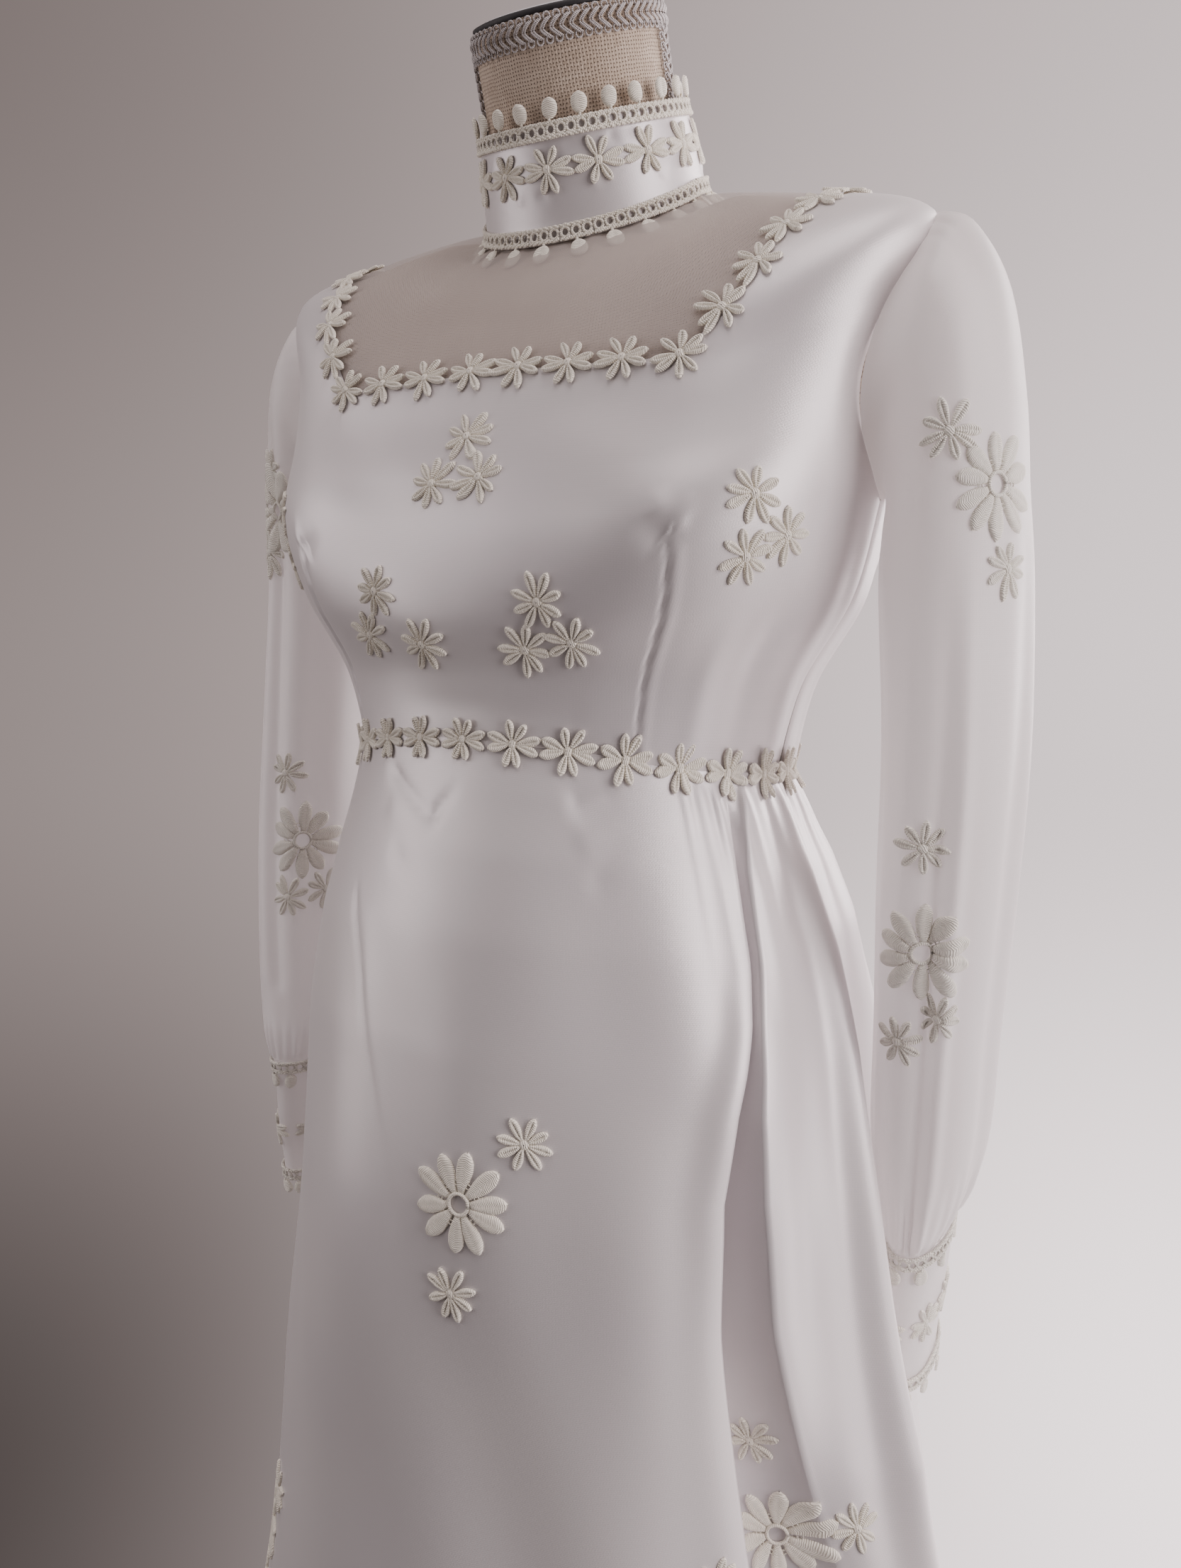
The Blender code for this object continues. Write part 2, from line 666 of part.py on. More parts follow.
def sleeve_grids(side, table):
    """Inner and outer grids of a sleeve: its seam at the armhole, then one ring for each table row."""
    turns = np.linspace(0, 360, SLEEVE_COLUMNS, endpoint=False)
    middle = np.array([side * 168.0, 0.0, 1322.0])
    seam = []
    for turn in turns:
        angle, ring = armhole_point(turn)
        normal = body_normal(side * angle, ring)
        point = body_point(side * angle, ring) + normal * SLEEVE_LIFT
        inward = middle - point
        inward -= normal * np.dot(inward, normal)
        seam.append((point, inward / np.linalg.norm(inward)))
    rows = [[point + inward * (SLEEVE_INSET + THIN) for point, inward in seam]]
    for x, y, z, thick, wide, tilt, slope in table:
        lean = math.radians(tilt)
        up = np.array([side * math.sin(lean), 0, math.cos(lean)])
        row = []
        for turn in turns:
            t = math.radians(turn)
            point = np.array([side * x, y, z]) + thick * math.cos(t) * up
            row.append(point - wide * math.sin(t) * np.array([0, 1, slope]))
        rows.append(row)
    inner = np.array(rows)
    normals = grid_normals(inner, True)
    if ((inner - inner.mean(axis=1, keepdims=True)) * normals).sum() < 0:
        normals = -normals
    outer = inner + normals * THIN
    outer[0] = [point + inward * SLEEVE_INSET for point, inward in seam]
    outer[-1] = inner[-1] + flat_outward(inner[-1]) * THIN
    return inner, outer


def make_sleeves(satin):
    wall("sleeve_left", *sleeve_grids(1, LEFT_SLEEVE_RINGS), satin, True)
    wall("sleeve_right", *sleeve_grids(-1, RIGHT_SLEEVE_RINGS), satin, True)


def make_cuffs(side, word, edges, satin, lace):
    """One satin cuff and its three rows of lace."""
    top, bottom = np.array(edges, float)
    length = top[2] - bottom[2]

    def cuff_point(turn, down, lift):
        x, y, z, thick, wide, slope = top + (bottom - top) * down / length
        t = math.radians(turn)
        out = np.array([math.cos(t) / thick, -math.sin(t) / wide, 0])
        out *= lift / np.linalg.norm(out)
        behind = -wide * math.sin(t)
        point = np.array([x + thick * math.cos(t), y + behind, z + slope * behind]) + out
        point[0] *= side
        return point

    turns = np.linspace(0, 360, 32, endpoint=False)
    downs = (0, length / 2, length)
    inner = np.array([[cuff_point(t, d, 0) for t in turns] for d in downs])
    outer = np.array([[cuff_point(t, d, SATIN) for t in turns] for d in downs])
    wall("cuff_" + word, inner, outer, satin, True)

    def on_cuff(turn, down, lift):
        return cuff_point(turn, down, SATIN + lift)

    around = 2 * math.pi * math.hypot(top[3], top[4]) / math.sqrt(2)
    drops = round(around / DROP_PITCH)
    stations = drop_stations(drops, 0, 360)
    upper = drop_edges(drops, (1, 7), 17)
    lower = drop_edges(drops, (length - 8, length - 1), length + 9)
    strip("cuff_top_edging_" + word, on_cuff, stations, upper, LACE_LIFT, LACE, lace, True)
    strip("cuff_bottom_edging_" + word, on_cuff, stations, lower, LACE_LIFT, LACE, lace, True)
    daisies = round(around / DAISY_PITCH)
    stations = even_stations(daisies, 4, 0, 360)
    chain = [(a + CUFF_CHAIN, b + CUFF_CHAIN) for a, b in daisy_edges(daisies, DAISY_HALF, DAISY_JOIN)]
    strip("cuff_daisy_trim_" + word, on_cuff, stations, chain, LACE_LIFT, LACE, lace, True)


def make_form(linen, braid, cap_paint, metal):
    """The limbless form, just inside the cloth, with its neck, cap, stand pole and base."""
    angles = np.linspace(0, 360, FORM_COLUMNS, endpoint=False)
    rows = []
    for height, radius in FORM_NECK:
        rows.append([neck_point(a, height, radius) for a in angles])
    for ring in FORM_BODY_RINGS:
        row = []
        for angle in angles:
            signed = (angle + 180) % 360 - 180
            facing = math.cos(math.radians(angle)) ** 2
            corner = math.sin(math.radians(2 * angle)) ** 2
            clear = FORM_TOUCH + 2.2 * facing + 4.5 * corner * math.exp(-((ring - 2.6) / 0.8) ** 2)
            if ring >= 2.5:
                clear = max(clear, 3.0 + max(0.0, min(1.0, ring - TIP)))
            point = body_point(signed, ring) - body_normal(signed, ring) * clear
            row.append(point)
        rows.append(row)
    for height, half_width, front, back in FORM_HIPS:
        row = []
        for angle in angles:
            turn = math.radians(angle)
            depth = front if math.cos(turn) > 0 else back
            row.append(np.array([half_width * math.sin(turn), -depth * math.cos(turn), height]))
        rows.append(row)
    solid_ring_stack("form_torso", rows, linen)

    top, radius = FORM_NECK[0]
    cap = np.array([[neck_point(a, top + h, radius - 2) for a in angles] for h in (0.3, 3.3)])
    solid_ring_stack("form_neck_cap", cap, cap_paint)
    inner = np.array([[neck_point(a, top - h, radius + 0.5) for a in angles] for h in (1, 11)])
    outer = np.array([[neck_point(a, top - h, radius + 2.3) for a in angles] for h in (1, 11)])
    wall("form_neck_braid", inner, outer, braid, True)
    pole = cylinder_rows(POLE_RADIUS, (BASE_HEIGHT + 0.3, FORM_HIPS[-1][0] - 0.3), POLE_SIDES)
    solid_ring_stack("stand_pole", pole, metal)
    base = np.concatenate(
        [
            cylinder_rows(BASE_RADIUS, (0, 9), BASE_SIDES),
            cylinder_rows(BASE_RADIUS - 8, (BASE_HEIGHT,), BASE_SIDES),
        ]
    )
    solid_ring_stack("stand_base", base, metal)


def cylinder_rows(radius, heights, sides):
    turns = np.linspace(0, 2 * math.pi, sides, endpoint=False)
    return np.array([[(radius * math.cos(t), radius * math.sin(t), h) for t in turns] for h in heights])


def solid_ring_stack(name, rows, made_of):
    """A closed solid from rings of points, capped flat at both ends."""
    rows = np.asarray(rows, float)
    count, columns, _ = rows.shape
    points = np.concatenate([rows.reshape(-1, 3), [rows[0].mean(axis=0), rows[-1].mean(axis=0)]])
    faces = []
    for row in range(count - 1):
        for column in range(columns):
            a = row * columns + column
            b = row * columns + (column + 1) % columns
            faces.append((a, b, b + columns))
            faces.append((a, b + columns, a + columns))
    for column in range(columns):
        following = (column + 1) % columns
        faces.append((count * columns, following, column))
        last = (count - 1) * columns
        faces.append((count * columns + 1, last + column, last + following))
    add_object(name, points, facing_out(points, faces), made_of)


def make_zip(tape):
    """The zip tape behind the centre-back opening, from the neck to below the waist."""
    offsets = (-10, -5, 0, 5, 10)
    rows = []
    for ring in ZIP_RINGS:
        row = []
        for off in offsets:
            depth = np.linalg.norm(body_point(180, ring)[:2])
            angle = 180 + math.degrees(off / depth)
            signed = (angle + 180) % 360 - 180
            row.append(body_point(signed, ring) - body_normal(signed, ring) * ZIP_SET_BACK)
        rows.append(row)
    inner = np.array(rows)
    normals = grid_normals(inner, False)
    if normals[4, 2, 1] < 0:
        normals = -normals
    wall("back_zip", inner - normals * 1.0, inner, tape)


def build():
    clear_scene()
    satin = material("pale satin", (0.80, 0.78, 0.80), 0.38)
    sheer = material("sheer organza", (0.74, 0.71, 0.70), 0.5)
    lace = material("cream guipure lace", (0.80, 0.76, 0.66), 0.75)
    linen = material("beige linen", (0.52, 0.47, 0.40), 0.9)
    braid = material("grey gimp braid", (0.45, 0.44, 0.43), 0.7)
    cap_paint = material("dark cap", (0.03, 0.03, 0.03), 0.5)
    tape = material("cream zip tape", (0.75, 0.72, 0.68), 0.7)
    metal = material("painted steel", (0.08, 0.08, 0.08), 0.45, 0.6)
    make_bodice(satin, sheer)
    make_collar(satin)
    make_collar_lace(lace)
    make_neckline_trim(lace)
    make_skirt(satin)
    make_waist_trim(lace)
    make_sleeves(satin)
    make_cuffs(1, "left", LEFT_CUFF, satin, lace)
    make_cuffs(-1, "right", RIGHT_CUFF, satin, lace)
    make_form(linen, braid, cap_paint, metal)
    make_zip(tape)


build()
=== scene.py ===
# %% [markdown]
# # A satin wedding dress on a linen dress form
#
# The dress is full length, with a raised waist, a sheer yoke, a stand collar and long sleeves gathered into deep
# cuffs. Chains of lace daisies cover its seams and loose lace flowers are sewn on in groups.
# The solids of the CAD step are loaded first, as a fixed frame. Every piece below is made in millimetres in that
# same frame, and stands for one or more of those solids.

# %% Load the frame
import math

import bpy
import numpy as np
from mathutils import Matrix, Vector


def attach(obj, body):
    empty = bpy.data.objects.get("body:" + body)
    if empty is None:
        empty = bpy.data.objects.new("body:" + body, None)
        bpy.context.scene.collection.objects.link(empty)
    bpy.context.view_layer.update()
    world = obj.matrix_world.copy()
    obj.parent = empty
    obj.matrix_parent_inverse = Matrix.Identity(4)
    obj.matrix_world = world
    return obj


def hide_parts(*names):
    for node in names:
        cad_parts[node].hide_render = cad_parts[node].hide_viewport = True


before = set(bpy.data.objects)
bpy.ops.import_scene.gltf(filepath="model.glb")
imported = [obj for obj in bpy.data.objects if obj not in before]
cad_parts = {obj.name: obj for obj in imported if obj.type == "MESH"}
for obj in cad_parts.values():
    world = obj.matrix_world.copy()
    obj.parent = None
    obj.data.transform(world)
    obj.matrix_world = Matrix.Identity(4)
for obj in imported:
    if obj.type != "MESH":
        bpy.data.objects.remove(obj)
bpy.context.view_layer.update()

# %% [markdown]
# ## Numbers and small tools
#
# Cloth is easiest to build as a grid of points that follows a few rings. Between two rings the points follow a
# smooth curve, so a table with ten rows is enough for a whole bodice. The grid could also be a subdivision
# surface, but then its seams would drift away from the solids.

MM = 0.001
chance = np.random.default_rng(1968)


def add_object(name, data):
    made = bpy.data.objects.new(name, data)
    bpy.context.scene.collection.objects.link(made)
    return made


# %% Smooth curves through table rows
def curve_between(before, first, second, after, part):
    """A smooth curve from first to second that heads the way its neighbours do."""
    return (
        first * (1 + 2 * part) * (1 - part) ** 2
        + (second - before) / 2 * part * (1 - part) ** 2
        + second * part * part * (3 - 2 * part)
        + (after - first) / 2 * part * part * (part - 1)
    )


def smooth_rows(table, at):
    """Rows of a table read between its entries, on a smooth curve through them."""
    table = np.asarray(table, float)
    last = len(table) - 1
    at = np.clip(np.asarray(at, float), 0, last)
    low = np.minimum(at.astype(int), last - 1)
    part = (at - low).reshape(at.shape + (1,) * (table.ndim - 1))
    four = (table[np.clip(low + k, 0, last)] for k in (-1, 0, 1, 2))
    return curve_between(*four, part)


def unit(vectors):
    return vectors / np.maximum(np.linalg.norm(vectors, axis=-1, keepdims=True), 1e-9)


def signed_power(value, power):
    return np.sign(value) * np.abs(value) ** power


def between(value, low, high):
    """0 below low, 1 above high, and a soft slope between."""
    part = np.clip((value - low) / (high - low), 0, 1)
    return part * part * (3 - 2 * part)


# %% Directions of a surface
def facing_out(surface, a, b, step_a, step_b):
    """Unit outward directions; a runs towards the dress's left seen from the front, b runs down."""
    along = surface(a + step_a, b) - surface(a - step_a, b)
    down = surface(a, b + step_b) - surface(a, b - step_b)
    return unit(np.cross(down, along))


# %% Soft ridges and troughs
def creases(a, b, table, a_size, b_size):
    """Rise in millimetres of ridges, or troughs where the height is below zero.

    Columns: start a, b, end a, b, half width, height, share lost by its end, share over which it starts.
    """
    rise = np.zeros(np.broadcast(a, b).shape)
    for a0, b0, a1, b1, width, height, lost, onset in table:
        x, y = (a - a0) * a_size, (b - b0) * b_size
        dx, dy = (a1 - a0) * a_size, (b1 - b0) * b_size
        part = np.clip((x * dx + y * dy) / (dx * dx + dy * dy), 0, 1)
        away = np.hypot(x - part * dx, y - part * dy) / width
        begun = between(part, -0.001, onset) if onset else 1.0
        rise += height * begun * (1 - lost * part) * np.exp(-away * away)
    return rise


# %% [markdown]
# ## Shader helpers
#
# Cloth looks like cloth because of small things: threads, uneven dye, fuzz that catches light at a glancing
# angle. These are built as node groups, once, and each material sets their values. The alternative, painted
# textures, would fix the resolution and need picture files.

# %% Putting nodes down
def put(tree, kind, settings=None, inputs=None):
    made = tree.nodes.new(kind)
    for key, value in (settings or {}).items():
        setattr(made, key, value)
    for key, value in (inputs or {}).items():
        if isinstance(value, bpy.types.NodeSocket):
            tree.links.new(value, made.inputs[key])
        else:
            made.inputs[key].default_value = value
    return made


def reckon(tree, operation, *values):
    """A Math node's result; values are numbers or sockets."""
    node = put(tree, "ShaderNodeMath", {"operation": operation}, dict(enumerate(values)))
    return node.outputs[0]


def half_sines(tree, count):
    """The height across threads laid side by side, from how many there are up to each place."""
    return reckon(tree, "ABSOLUTE", reckon(tree, "SINE", reckon(tree, "MULTIPLY", count, math.pi)))


def group_shell(name, inputs, outputs):
    """An empty node group with named number sockets."""
    tree = bpy.data.node_groups.new(name, "ShaderNodeTree")
    for title, value in inputs.items():
        socket = tree.interface.new_socket(name=title, in_out="INPUT", socket_type="NodeSocketFloat")
        socket.default_value = value
    for title in outputs:
        tree.interface.new_socket(name=title, in_out="OUTPUT", socket_type="NodeSocketFloat")
    return tree, tree.nodes.new("NodeGroupInput"), tree.nodes.new("NodeGroupOutput")


# %% [markdown]
# ### The weave
#
# A plain weave is two sets of threads, each passing over and under the other. The height of a thread across its
# width is close to a half sine, so two sines on the cloth's own coordinates give both sets. A checker, made from
# the rounded-down coordinates, says which set is on top. The mask "Gap" is high in the holes between threads.

# %% Node group: woven threads
def make_weave_group():
    tree, given, result = group_shell(
        "woven threads",
        {"Threads across": 600.0, "Threads down": 600.0, "Unevenness": 0.3, "Slub": 0.0},
        ("Height", "Gap", "Thread"),
    )
    flat = put(tree, "ShaderNodeUVMap", {"uv_map": "cloth"})
    wobble = put(tree, "ShaderNodeTexNoise", None, {"Vector": flat.outputs[0], "Scale": 130.0, "Detail": 2.0})
    shift = reckon(tree, "MULTIPLY", reckon(tree, "SUBTRACT", wobble.outputs[0], 0.5), given.outputs["Unevenness"])
    parts = put(tree, "ShaderNodeSeparateXYZ", None, {0: flat.outputs[0]})
    across = reckon(tree, "MULTIPLY_ADD", parts.outputs[0], given.outputs["Threads across"], shift)
    down = reckon(tree, "MULTIPLY_ADD", parts.outputs[1], given.outputs["Threads down"], shift)
    warp, weft = half_sines(tree, across), half_sines(tree, down)
    checker = reckon(tree, "ADD", reckon(tree, "FLOOR", across), reckon(tree, "FLOOR", down))
    over = reckon(tree, "FLOORED_MODULO", checker, 2.0)
    under = reckon(tree, "SUBTRACT", 1.0, over)
    warp_high = reckon(tree, "MULTIPLY", warp, reckon(tree, "MULTIPLY_ADD", over, 0.45, 0.55))
    weft_high = reckon(tree, "MULTIPLY", weft, reckon(tree, "MULTIPLY_ADD", under, 0.45, 0.55))
    height = reckon(tree, "MAXIMUM", warp_high, weft_high)
    tree.links.new(height, result.inputs["Height"])
    # Gap is high in the holes between threads: sheer cloth uses it for alpha, the other cloths for painted shade.
    widest = reckon(tree, "MAXIMUM", warp, weft)
    gap = reckon(tree, "MULTIPLY", reckon(tree, "SUBTRACT", 0.72, widest), 3.0)
    tree.links.new(reckon(tree, "MINIMUM", reckon(tree, "MAXIMUM", gap, 0.0), 1.0), result.inputs["Gap"])

    def along_threads(first, second):
        place = put(tree, "ShaderNodeCombineXYZ", None, {0: first, 1: second}).outputs[0]
        return put(tree, "ShaderNodeTexNoise", None, {"Vector": place, "Scale": 3.7}).outputs[0]

    rows = along_threads(reckon(tree, "FLOOR", across), reckon(tree, "MULTIPLY", parts.outputs[1], 14.0))
    columns = along_threads(reckon(tree, "MULTIPLY", parts.outputs[0], 14.0), reckon(tree, "FLOOR", down))
    thicker = reckon(tree, "SUBTRACT", reckon(tree, "MAXIMUM", rows, columns), 0.5)
    tree.links.new(reckon(tree, "MULTIPLY", thicker, given.outputs["Slub"]), result.inputs["Thread"])
    return tree


weave_group = make_weave_group()

# %% [markdown]
# ### Satin stitch and soft mottling
#
# Machine lace is embroidery whose backing was dissolved away: each petal is filled with short threads laid side
# by side across it. Bands along the petal's own length, a little uneven, give that look. The mottling is slow
# noise in space, for cloth that is never one flat colour.

# %% Node groups: laid stitches and mottling
def make_stitch_group():
    tree, given, result = group_shell("laid stitches", {"Stitches": 1100.0, "Unevenness": 1.2}, ("Height", "Groove"))
    flat = put(tree, "ShaderNodeUVMap", {"uv_map": "cloth"})
    wobble = put(tree, "ShaderNodeTexNoise", None, {"Vector": flat.outputs[0], "Scale": 420.0, "Detail": 3.0})
    parts = put(tree, "ShaderNodeSeparateXYZ", None, {0: flat.outputs[0]})
    shift = reckon(tree, "MULTIPLY", reckon(tree, "SUBTRACT", wobble.outputs[0], 0.5), given.outputs["Unevenness"])
    count = reckon(tree, "MULTIPLY_ADD", parts.outputs[0], given.outputs["Stitches"], shift)
    thread = half_sines(tree, count)
    fuzz = put(tree, "ShaderNodeTexNoise", None, {"Vector": flat.outputs[0], "Scale": 1500.0, "Detail": 2.0})
    height = reckon(tree, "MULTIPLY_ADD", fuzz.outputs[0], 0.5, thread)
    tree.links.new(height, result.inputs["Height"])
    # Groove is high in the hollows between stitches; it places painted shade there.
    tree.links.new(reckon(tree, "POWER", reckon(tree, "SUBTRACT", 1.0, thread), 2.0), result.inputs["Groove"])
    return tree


def make_mottle_group():
    tree, given, result = group_shell("soft mottling", {"Size": 0.05, "Contrast": 1.0}, ("Shade",))
    place = put(tree, "ShaderNodeTexCoord")
    scale = reckon(tree, "DIVIDE", 1.0, given.outputs["Size"])
    noise = put(tree, "ShaderNodeTexNoise", None, {"Vector": place.outputs["Object"], "Scale": scale, "Detail": 3.0})
    centred = reckon(tree, "MULTIPLY", reckon(tree, "SUBTRACT", noise.outputs[0], 0.5), given.outputs["Contrast"])
    tree.links.new(reckon(tree, "ADD", centred, 0.5), result.inputs["Shade"])
    return tree


stitch_group = make_stitch_group()
mottle_group = make_mottle_group()
print("node groups", [group.name for group in (weave_group, stitch_group, mottle_group)])

# %% A material with colours, roughness and bump
def place_group(tree, group, values):
    return put(tree, "ShaderNodeGroup", {"node_tree": group}, values)


def blend_colours(tree, factor, first, second):
    node = put(tree, "ShaderNodeMix", {"data_type": "RGBA"}, {0: factor})
    for index, colour in ((6, first), (7, second)):
        if isinstance(colour, bpy.types.NodeSocket):
            tree.links.new(colour, node.inputs[index])
        else:
            node.inputs[index].default_value = (*colour, 1.0)
    return node.outputs[2]


def start_material(name):
    made = bpy.data.materials.new(name)
    made.use_nodes = True
    return made, made.node_tree, made.node_tree.nodes["Principled BSDF"]


def set_sockets(shader, values):
    for key, value in values.items():
        shader.inputs[key].default_value = value


def set_colour(tree, shader, factor, first, second):
    tree.links.new(blend_colours(tree, factor, first, second), shader.inputs["Base Color"])


def set_roughness(tree, shader, shade, spread, base):
    tree.links.new(reckon(tree, "MULTIPLY_ADD", shade, spread, base), shader.inputs["Roughness"])


def add_bump(tree, shader, height, strength, distance):
    bump = put(tree, "ShaderNodeBump", None, {"Height": height, "Strength": strength, "Distance": distance})
    tree.links.new(bump.outputs[0], shader.inputs["Normal"])


# %% [markdown]
# ### Satin
#
# Satin has long threads lying on its face, so it is smooth and gives broad soft highlights. Here it is an
# off-white with a trace of lilac in one shade and of ivory in the other. Roughness about 0.38 spreads the light,
# a metallic share of a quarter gives the pearly gloss, and a sheen brightens it where it turns away. The sleeves
# are one layer and glow, so a share of the light passes through them: they mix in a translucent shader. Their
# satin is also a much lighter copy of the same cloth, which is painted light for that glow.

# %% Satin finishes
def make_satin(name, first, second, roughness, sheen, gloss):
    made, tree, shader = start_material(name)
    mottle = place_group(tree, mottle_group, {"Size": 0.11, "Contrast": 1.6})
    weave = place_group(tree, weave_group, {"Threads across": 1500.0, "Threads down": 1150.0, "Unevenness": 0.5})
    base = blend_colours(tree, mottle.outputs["Shade"], first, second)
    # Painted shade: the gaps between the satin's threads are darkened a little towards this colour.
    gap_shade_colour = tuple(0.93 * part for part in first)
    set_colour(tree, shader, reckon(tree, "MULTIPLY", weave.outputs["Gap"], 0.35), base, gap_shade_colour)
    set_roughness(tree, shader, mottle.outputs["Shade"], 0.08, roughness - 0.04)
    set_sockets(
        shader,
        {"Sheen Weight": sheen, "Sheen Roughness": 0.35, "Sheen Tint": (1.0, 0.99, 1.0, 1.0), "Metallic": gloss},
    )
    add_bump(tree, shader, weave.outputs["Height"], 0.16, 0.0002)
    return made


def let_light_through(made, share, colour):
    """A share of the light passes through the sheet and leaves it scattered on the other side."""
    tree = made.node_tree
    shader, result = tree.nodes["Principled BSDF"], tree.nodes["Material Output"]
    through = put(tree, "ShaderNodeBsdfTranslucent", None, {"Color": (*colour, 1.0)})
    tree.links.new(shader.inputs["Normal"].links[0].from_socket, through.inputs["Normal"])
    mixed = put(tree, "ShaderNodeMixShader", None, {0: share, 1: shader.outputs[0], 2: through.outputs[0]})
    tree.links.new(mixed.outputs[0], result.inputs["Surface"])


satin = make_satin("pale satin", (0.72, 0.68, 0.70), (0.745, 0.71, 0.70), 0.38, 0.2, 0.27)
# The sleeves and cuffs use the same satin painted lighter: painted light for their glow, on top of the real
# translucent share.
sleeve_satin_painted_light = make_satin("sleeve satin with painted light", (0.90, 0.87, 0.88), (0.92, 0.89, 0.88), 0.4, 0.25, 0.0)
let_light_through(sleeve_satin_painted_light, 0.4, (0.94, 0.92, 0.92))

# %% [markdown]
# ### Sheer organza, linen and lace
#
# Organza is a stiff open weave: light passes between its threads, so the linen below shows through and turns it
# taupe. An alpha below one, a little lower in the gaps, does that without modelling a single thread. Linen is
# the opposite case: its threads are more than a millimetre apart and clearly seen on the neck, so its gaps and
# raised threads are drawn in full. The gaps are painted near black, as painted shade in the holes.

# %% Organza and linen
def make_organza():
    made, tree, shader = start_material("sheer organza")
    weave = place_group(tree, weave_group, {"Threads across": 1300.0, "Threads down": 1300.0, "Unevenness": 0.4})
    mottle = place_group(tree, mottle_group, {"Size": 0.06, "Contrast": 1.2})
    set_colour(tree, shader, mottle.outputs["Shade"], (0.50, 0.44, 0.41), (0.55, 0.49, 0.455))
    tree.links.new(reckon(tree, "MULTIPLY_ADD", weave.outputs["Gap"], -0.3, 0.62), shader.inputs["Alpha"])
    set_roughness(tree, shader, mottle.outputs["Shade"], 0.1, 0.42)
    set_sockets(shader, {"Sheen Weight": 0.25, "Sheen Roughness": 0.4})
    add_bump(tree, shader, weave.outputs["Height"], 0.12, 0.0002)
    return made


def make_linen():
    made, tree, shader = start_material("beige linen")
    weave = place_group(
        tree, weave_group, {"Threads across": 640.0, "Threads down": 640.0, "Unevenness": 0.9, "Slub": 2.4}
    )
    mottle = place_group(tree, mottle_group, {"Size": 0.03, "Contrast": 1.6})
    light = reckon(tree, "ADD", mottle.outputs["Shade"], weave.outputs["Thread"])
    threads = blend_colours(tree, light, (0.44, 0.345, 0.26), (0.62, 0.51, 0.41))
    # Painted shade: the holes between the threads are painted near black.
    set_colour(tree, shader, weave.outputs["Gap"], threads, (0.12, 0.085, 0.06))
    set_roughness(tree, shader, mottle.outputs["Shade"], 0.1, 0.8)
    set_sockets(shader, {"Sheen Weight": 0.15, "Sheen Roughness": 0.6, "Specular IOR Level": 0.25})
    add_bump(tree, shader, weave.outputs["Height"], 0.7, 0.0005)
    return made


organza = make_organza()
linen = make_linen()

# %% Lace, braid, tape and hard finishes
def make_thread_finish(name, light, dark_tone_and_groove_shade, stitches, roughness, sheen):
    made, tree, shader = start_material(name)
    stitch = place_group(tree, stitch_group, {"Stitches": stitches, "Unevenness": 1.2})
    mottle = place_group(tree, mottle_group, {"Size": 0.02, "Contrast": 1.5})
    middle = tuple(0.5 * (a + b) for a, b in zip(light, dark_tone_and_groove_shade))
    base = blend_colours(tree, mottle.outputs["Shade"], light, middle)
    # Painted shade: the grooves between stitches and strands are darkened towards the dark colour. The mottling
    # between the light colour and the middle one is the thread's own uneven tone.
    set_colour(tree, shader, reckon(tree, "MULTIPLY", stitch.outputs["Groove"], 0.8), base, dark_tone_and_groove_shade)
    set_roughness(tree, shader, mottle.outputs["Shade"], 0.1, roughness)
    set_sockets(shader, {"Sheen Weight": sheen, "Sheen Roughness": 0.5, "Specular IOR Level": 0.3})
    add_bump(tree, shader, stitch.outputs["Height"], 0.8, 0.0004)
    return made


def make_hard_finish(name, first, second, roughness, metallic, grain):
    made, tree, shader = start_material(name)
    mottle = place_group(tree, mottle_group, {"Size": grain, "Contrast": 1.8})
    set_colour(tree, shader, mottle.outputs["Shade"], first, second)
    set_roughness(tree, shader, mottle.outputs["Shade"], 0.2, roughness)
    set_sockets(shader, {"Metallic": metallic})
    add_bump(tree, shader, mottle.outputs["Shade"], 0.15, 0.0003)
    return made


# The second colour of each is both its darker tone and the painted shade in its grooves.
lace = make_thread_finish("cream guipure lace", (1.0, 0.955, 0.84), (0.88, 0.82, 0.69), 1150.0, 0.68, 0.4)
# The lace on the sleeves and cuffs is a lighter copy with paler grooves: painted light for the light that comes
# through the sleeve, beside a small real translucent share.
sleeve_lace_painted_light = make_thread_finish("guipure lace with painted light", (1.0, 0.98, 0.90), (0.97, 0.92, 0.80), 1150.0, 0.68, 0.5)
let_light_through(sleeve_lace_painted_light, 0.1, (1.0, 0.98, 0.90))
gimp = make_thread_finish("silver grey gimp braid", (0.78, 0.74, 0.735), (0.30, 0.265, 0.26), 1500.0, 0.4, 0.3)
tape = make_thread_finish("woven zip tape", (0.74, 0.71, 0.67), (0.5, 0.47, 0.44), 900.0, 0.7, 0.1)
cap_black = make_hard_finish("black cap cloth", (0.012, 0.011, 0.012), (0.03, 0.028, 0.03), 0.55, 0.0, 0.004)
cap_white = make_hard_finish("white cap plate", (0.68, 0.68, 0.70), (0.74, 0.74, 0.75), 0.3, 0.0, 0.02)
steel = make_hard_finish("black painted steel", (0.02, 0.02, 0.021), (0.045, 0.044, 0.045), 0.35, 0.25, 0.01)
zip_metal = make_hard_finish("zip puller enamel", (0.75, 0.73, 0.69), (0.7, 0.68, 0.64), 0.3, 0.3, 0.003)
print("materials", len(bpy.data.materials))

# %% [markdown]
# ## Making pieces
#
# Each piece is one mesh. Its UV map holds the cloth's own lengths, in metres, so that threads have their real
# size everywhere. The size each sheet of cloth was cut to is printed as it is made.

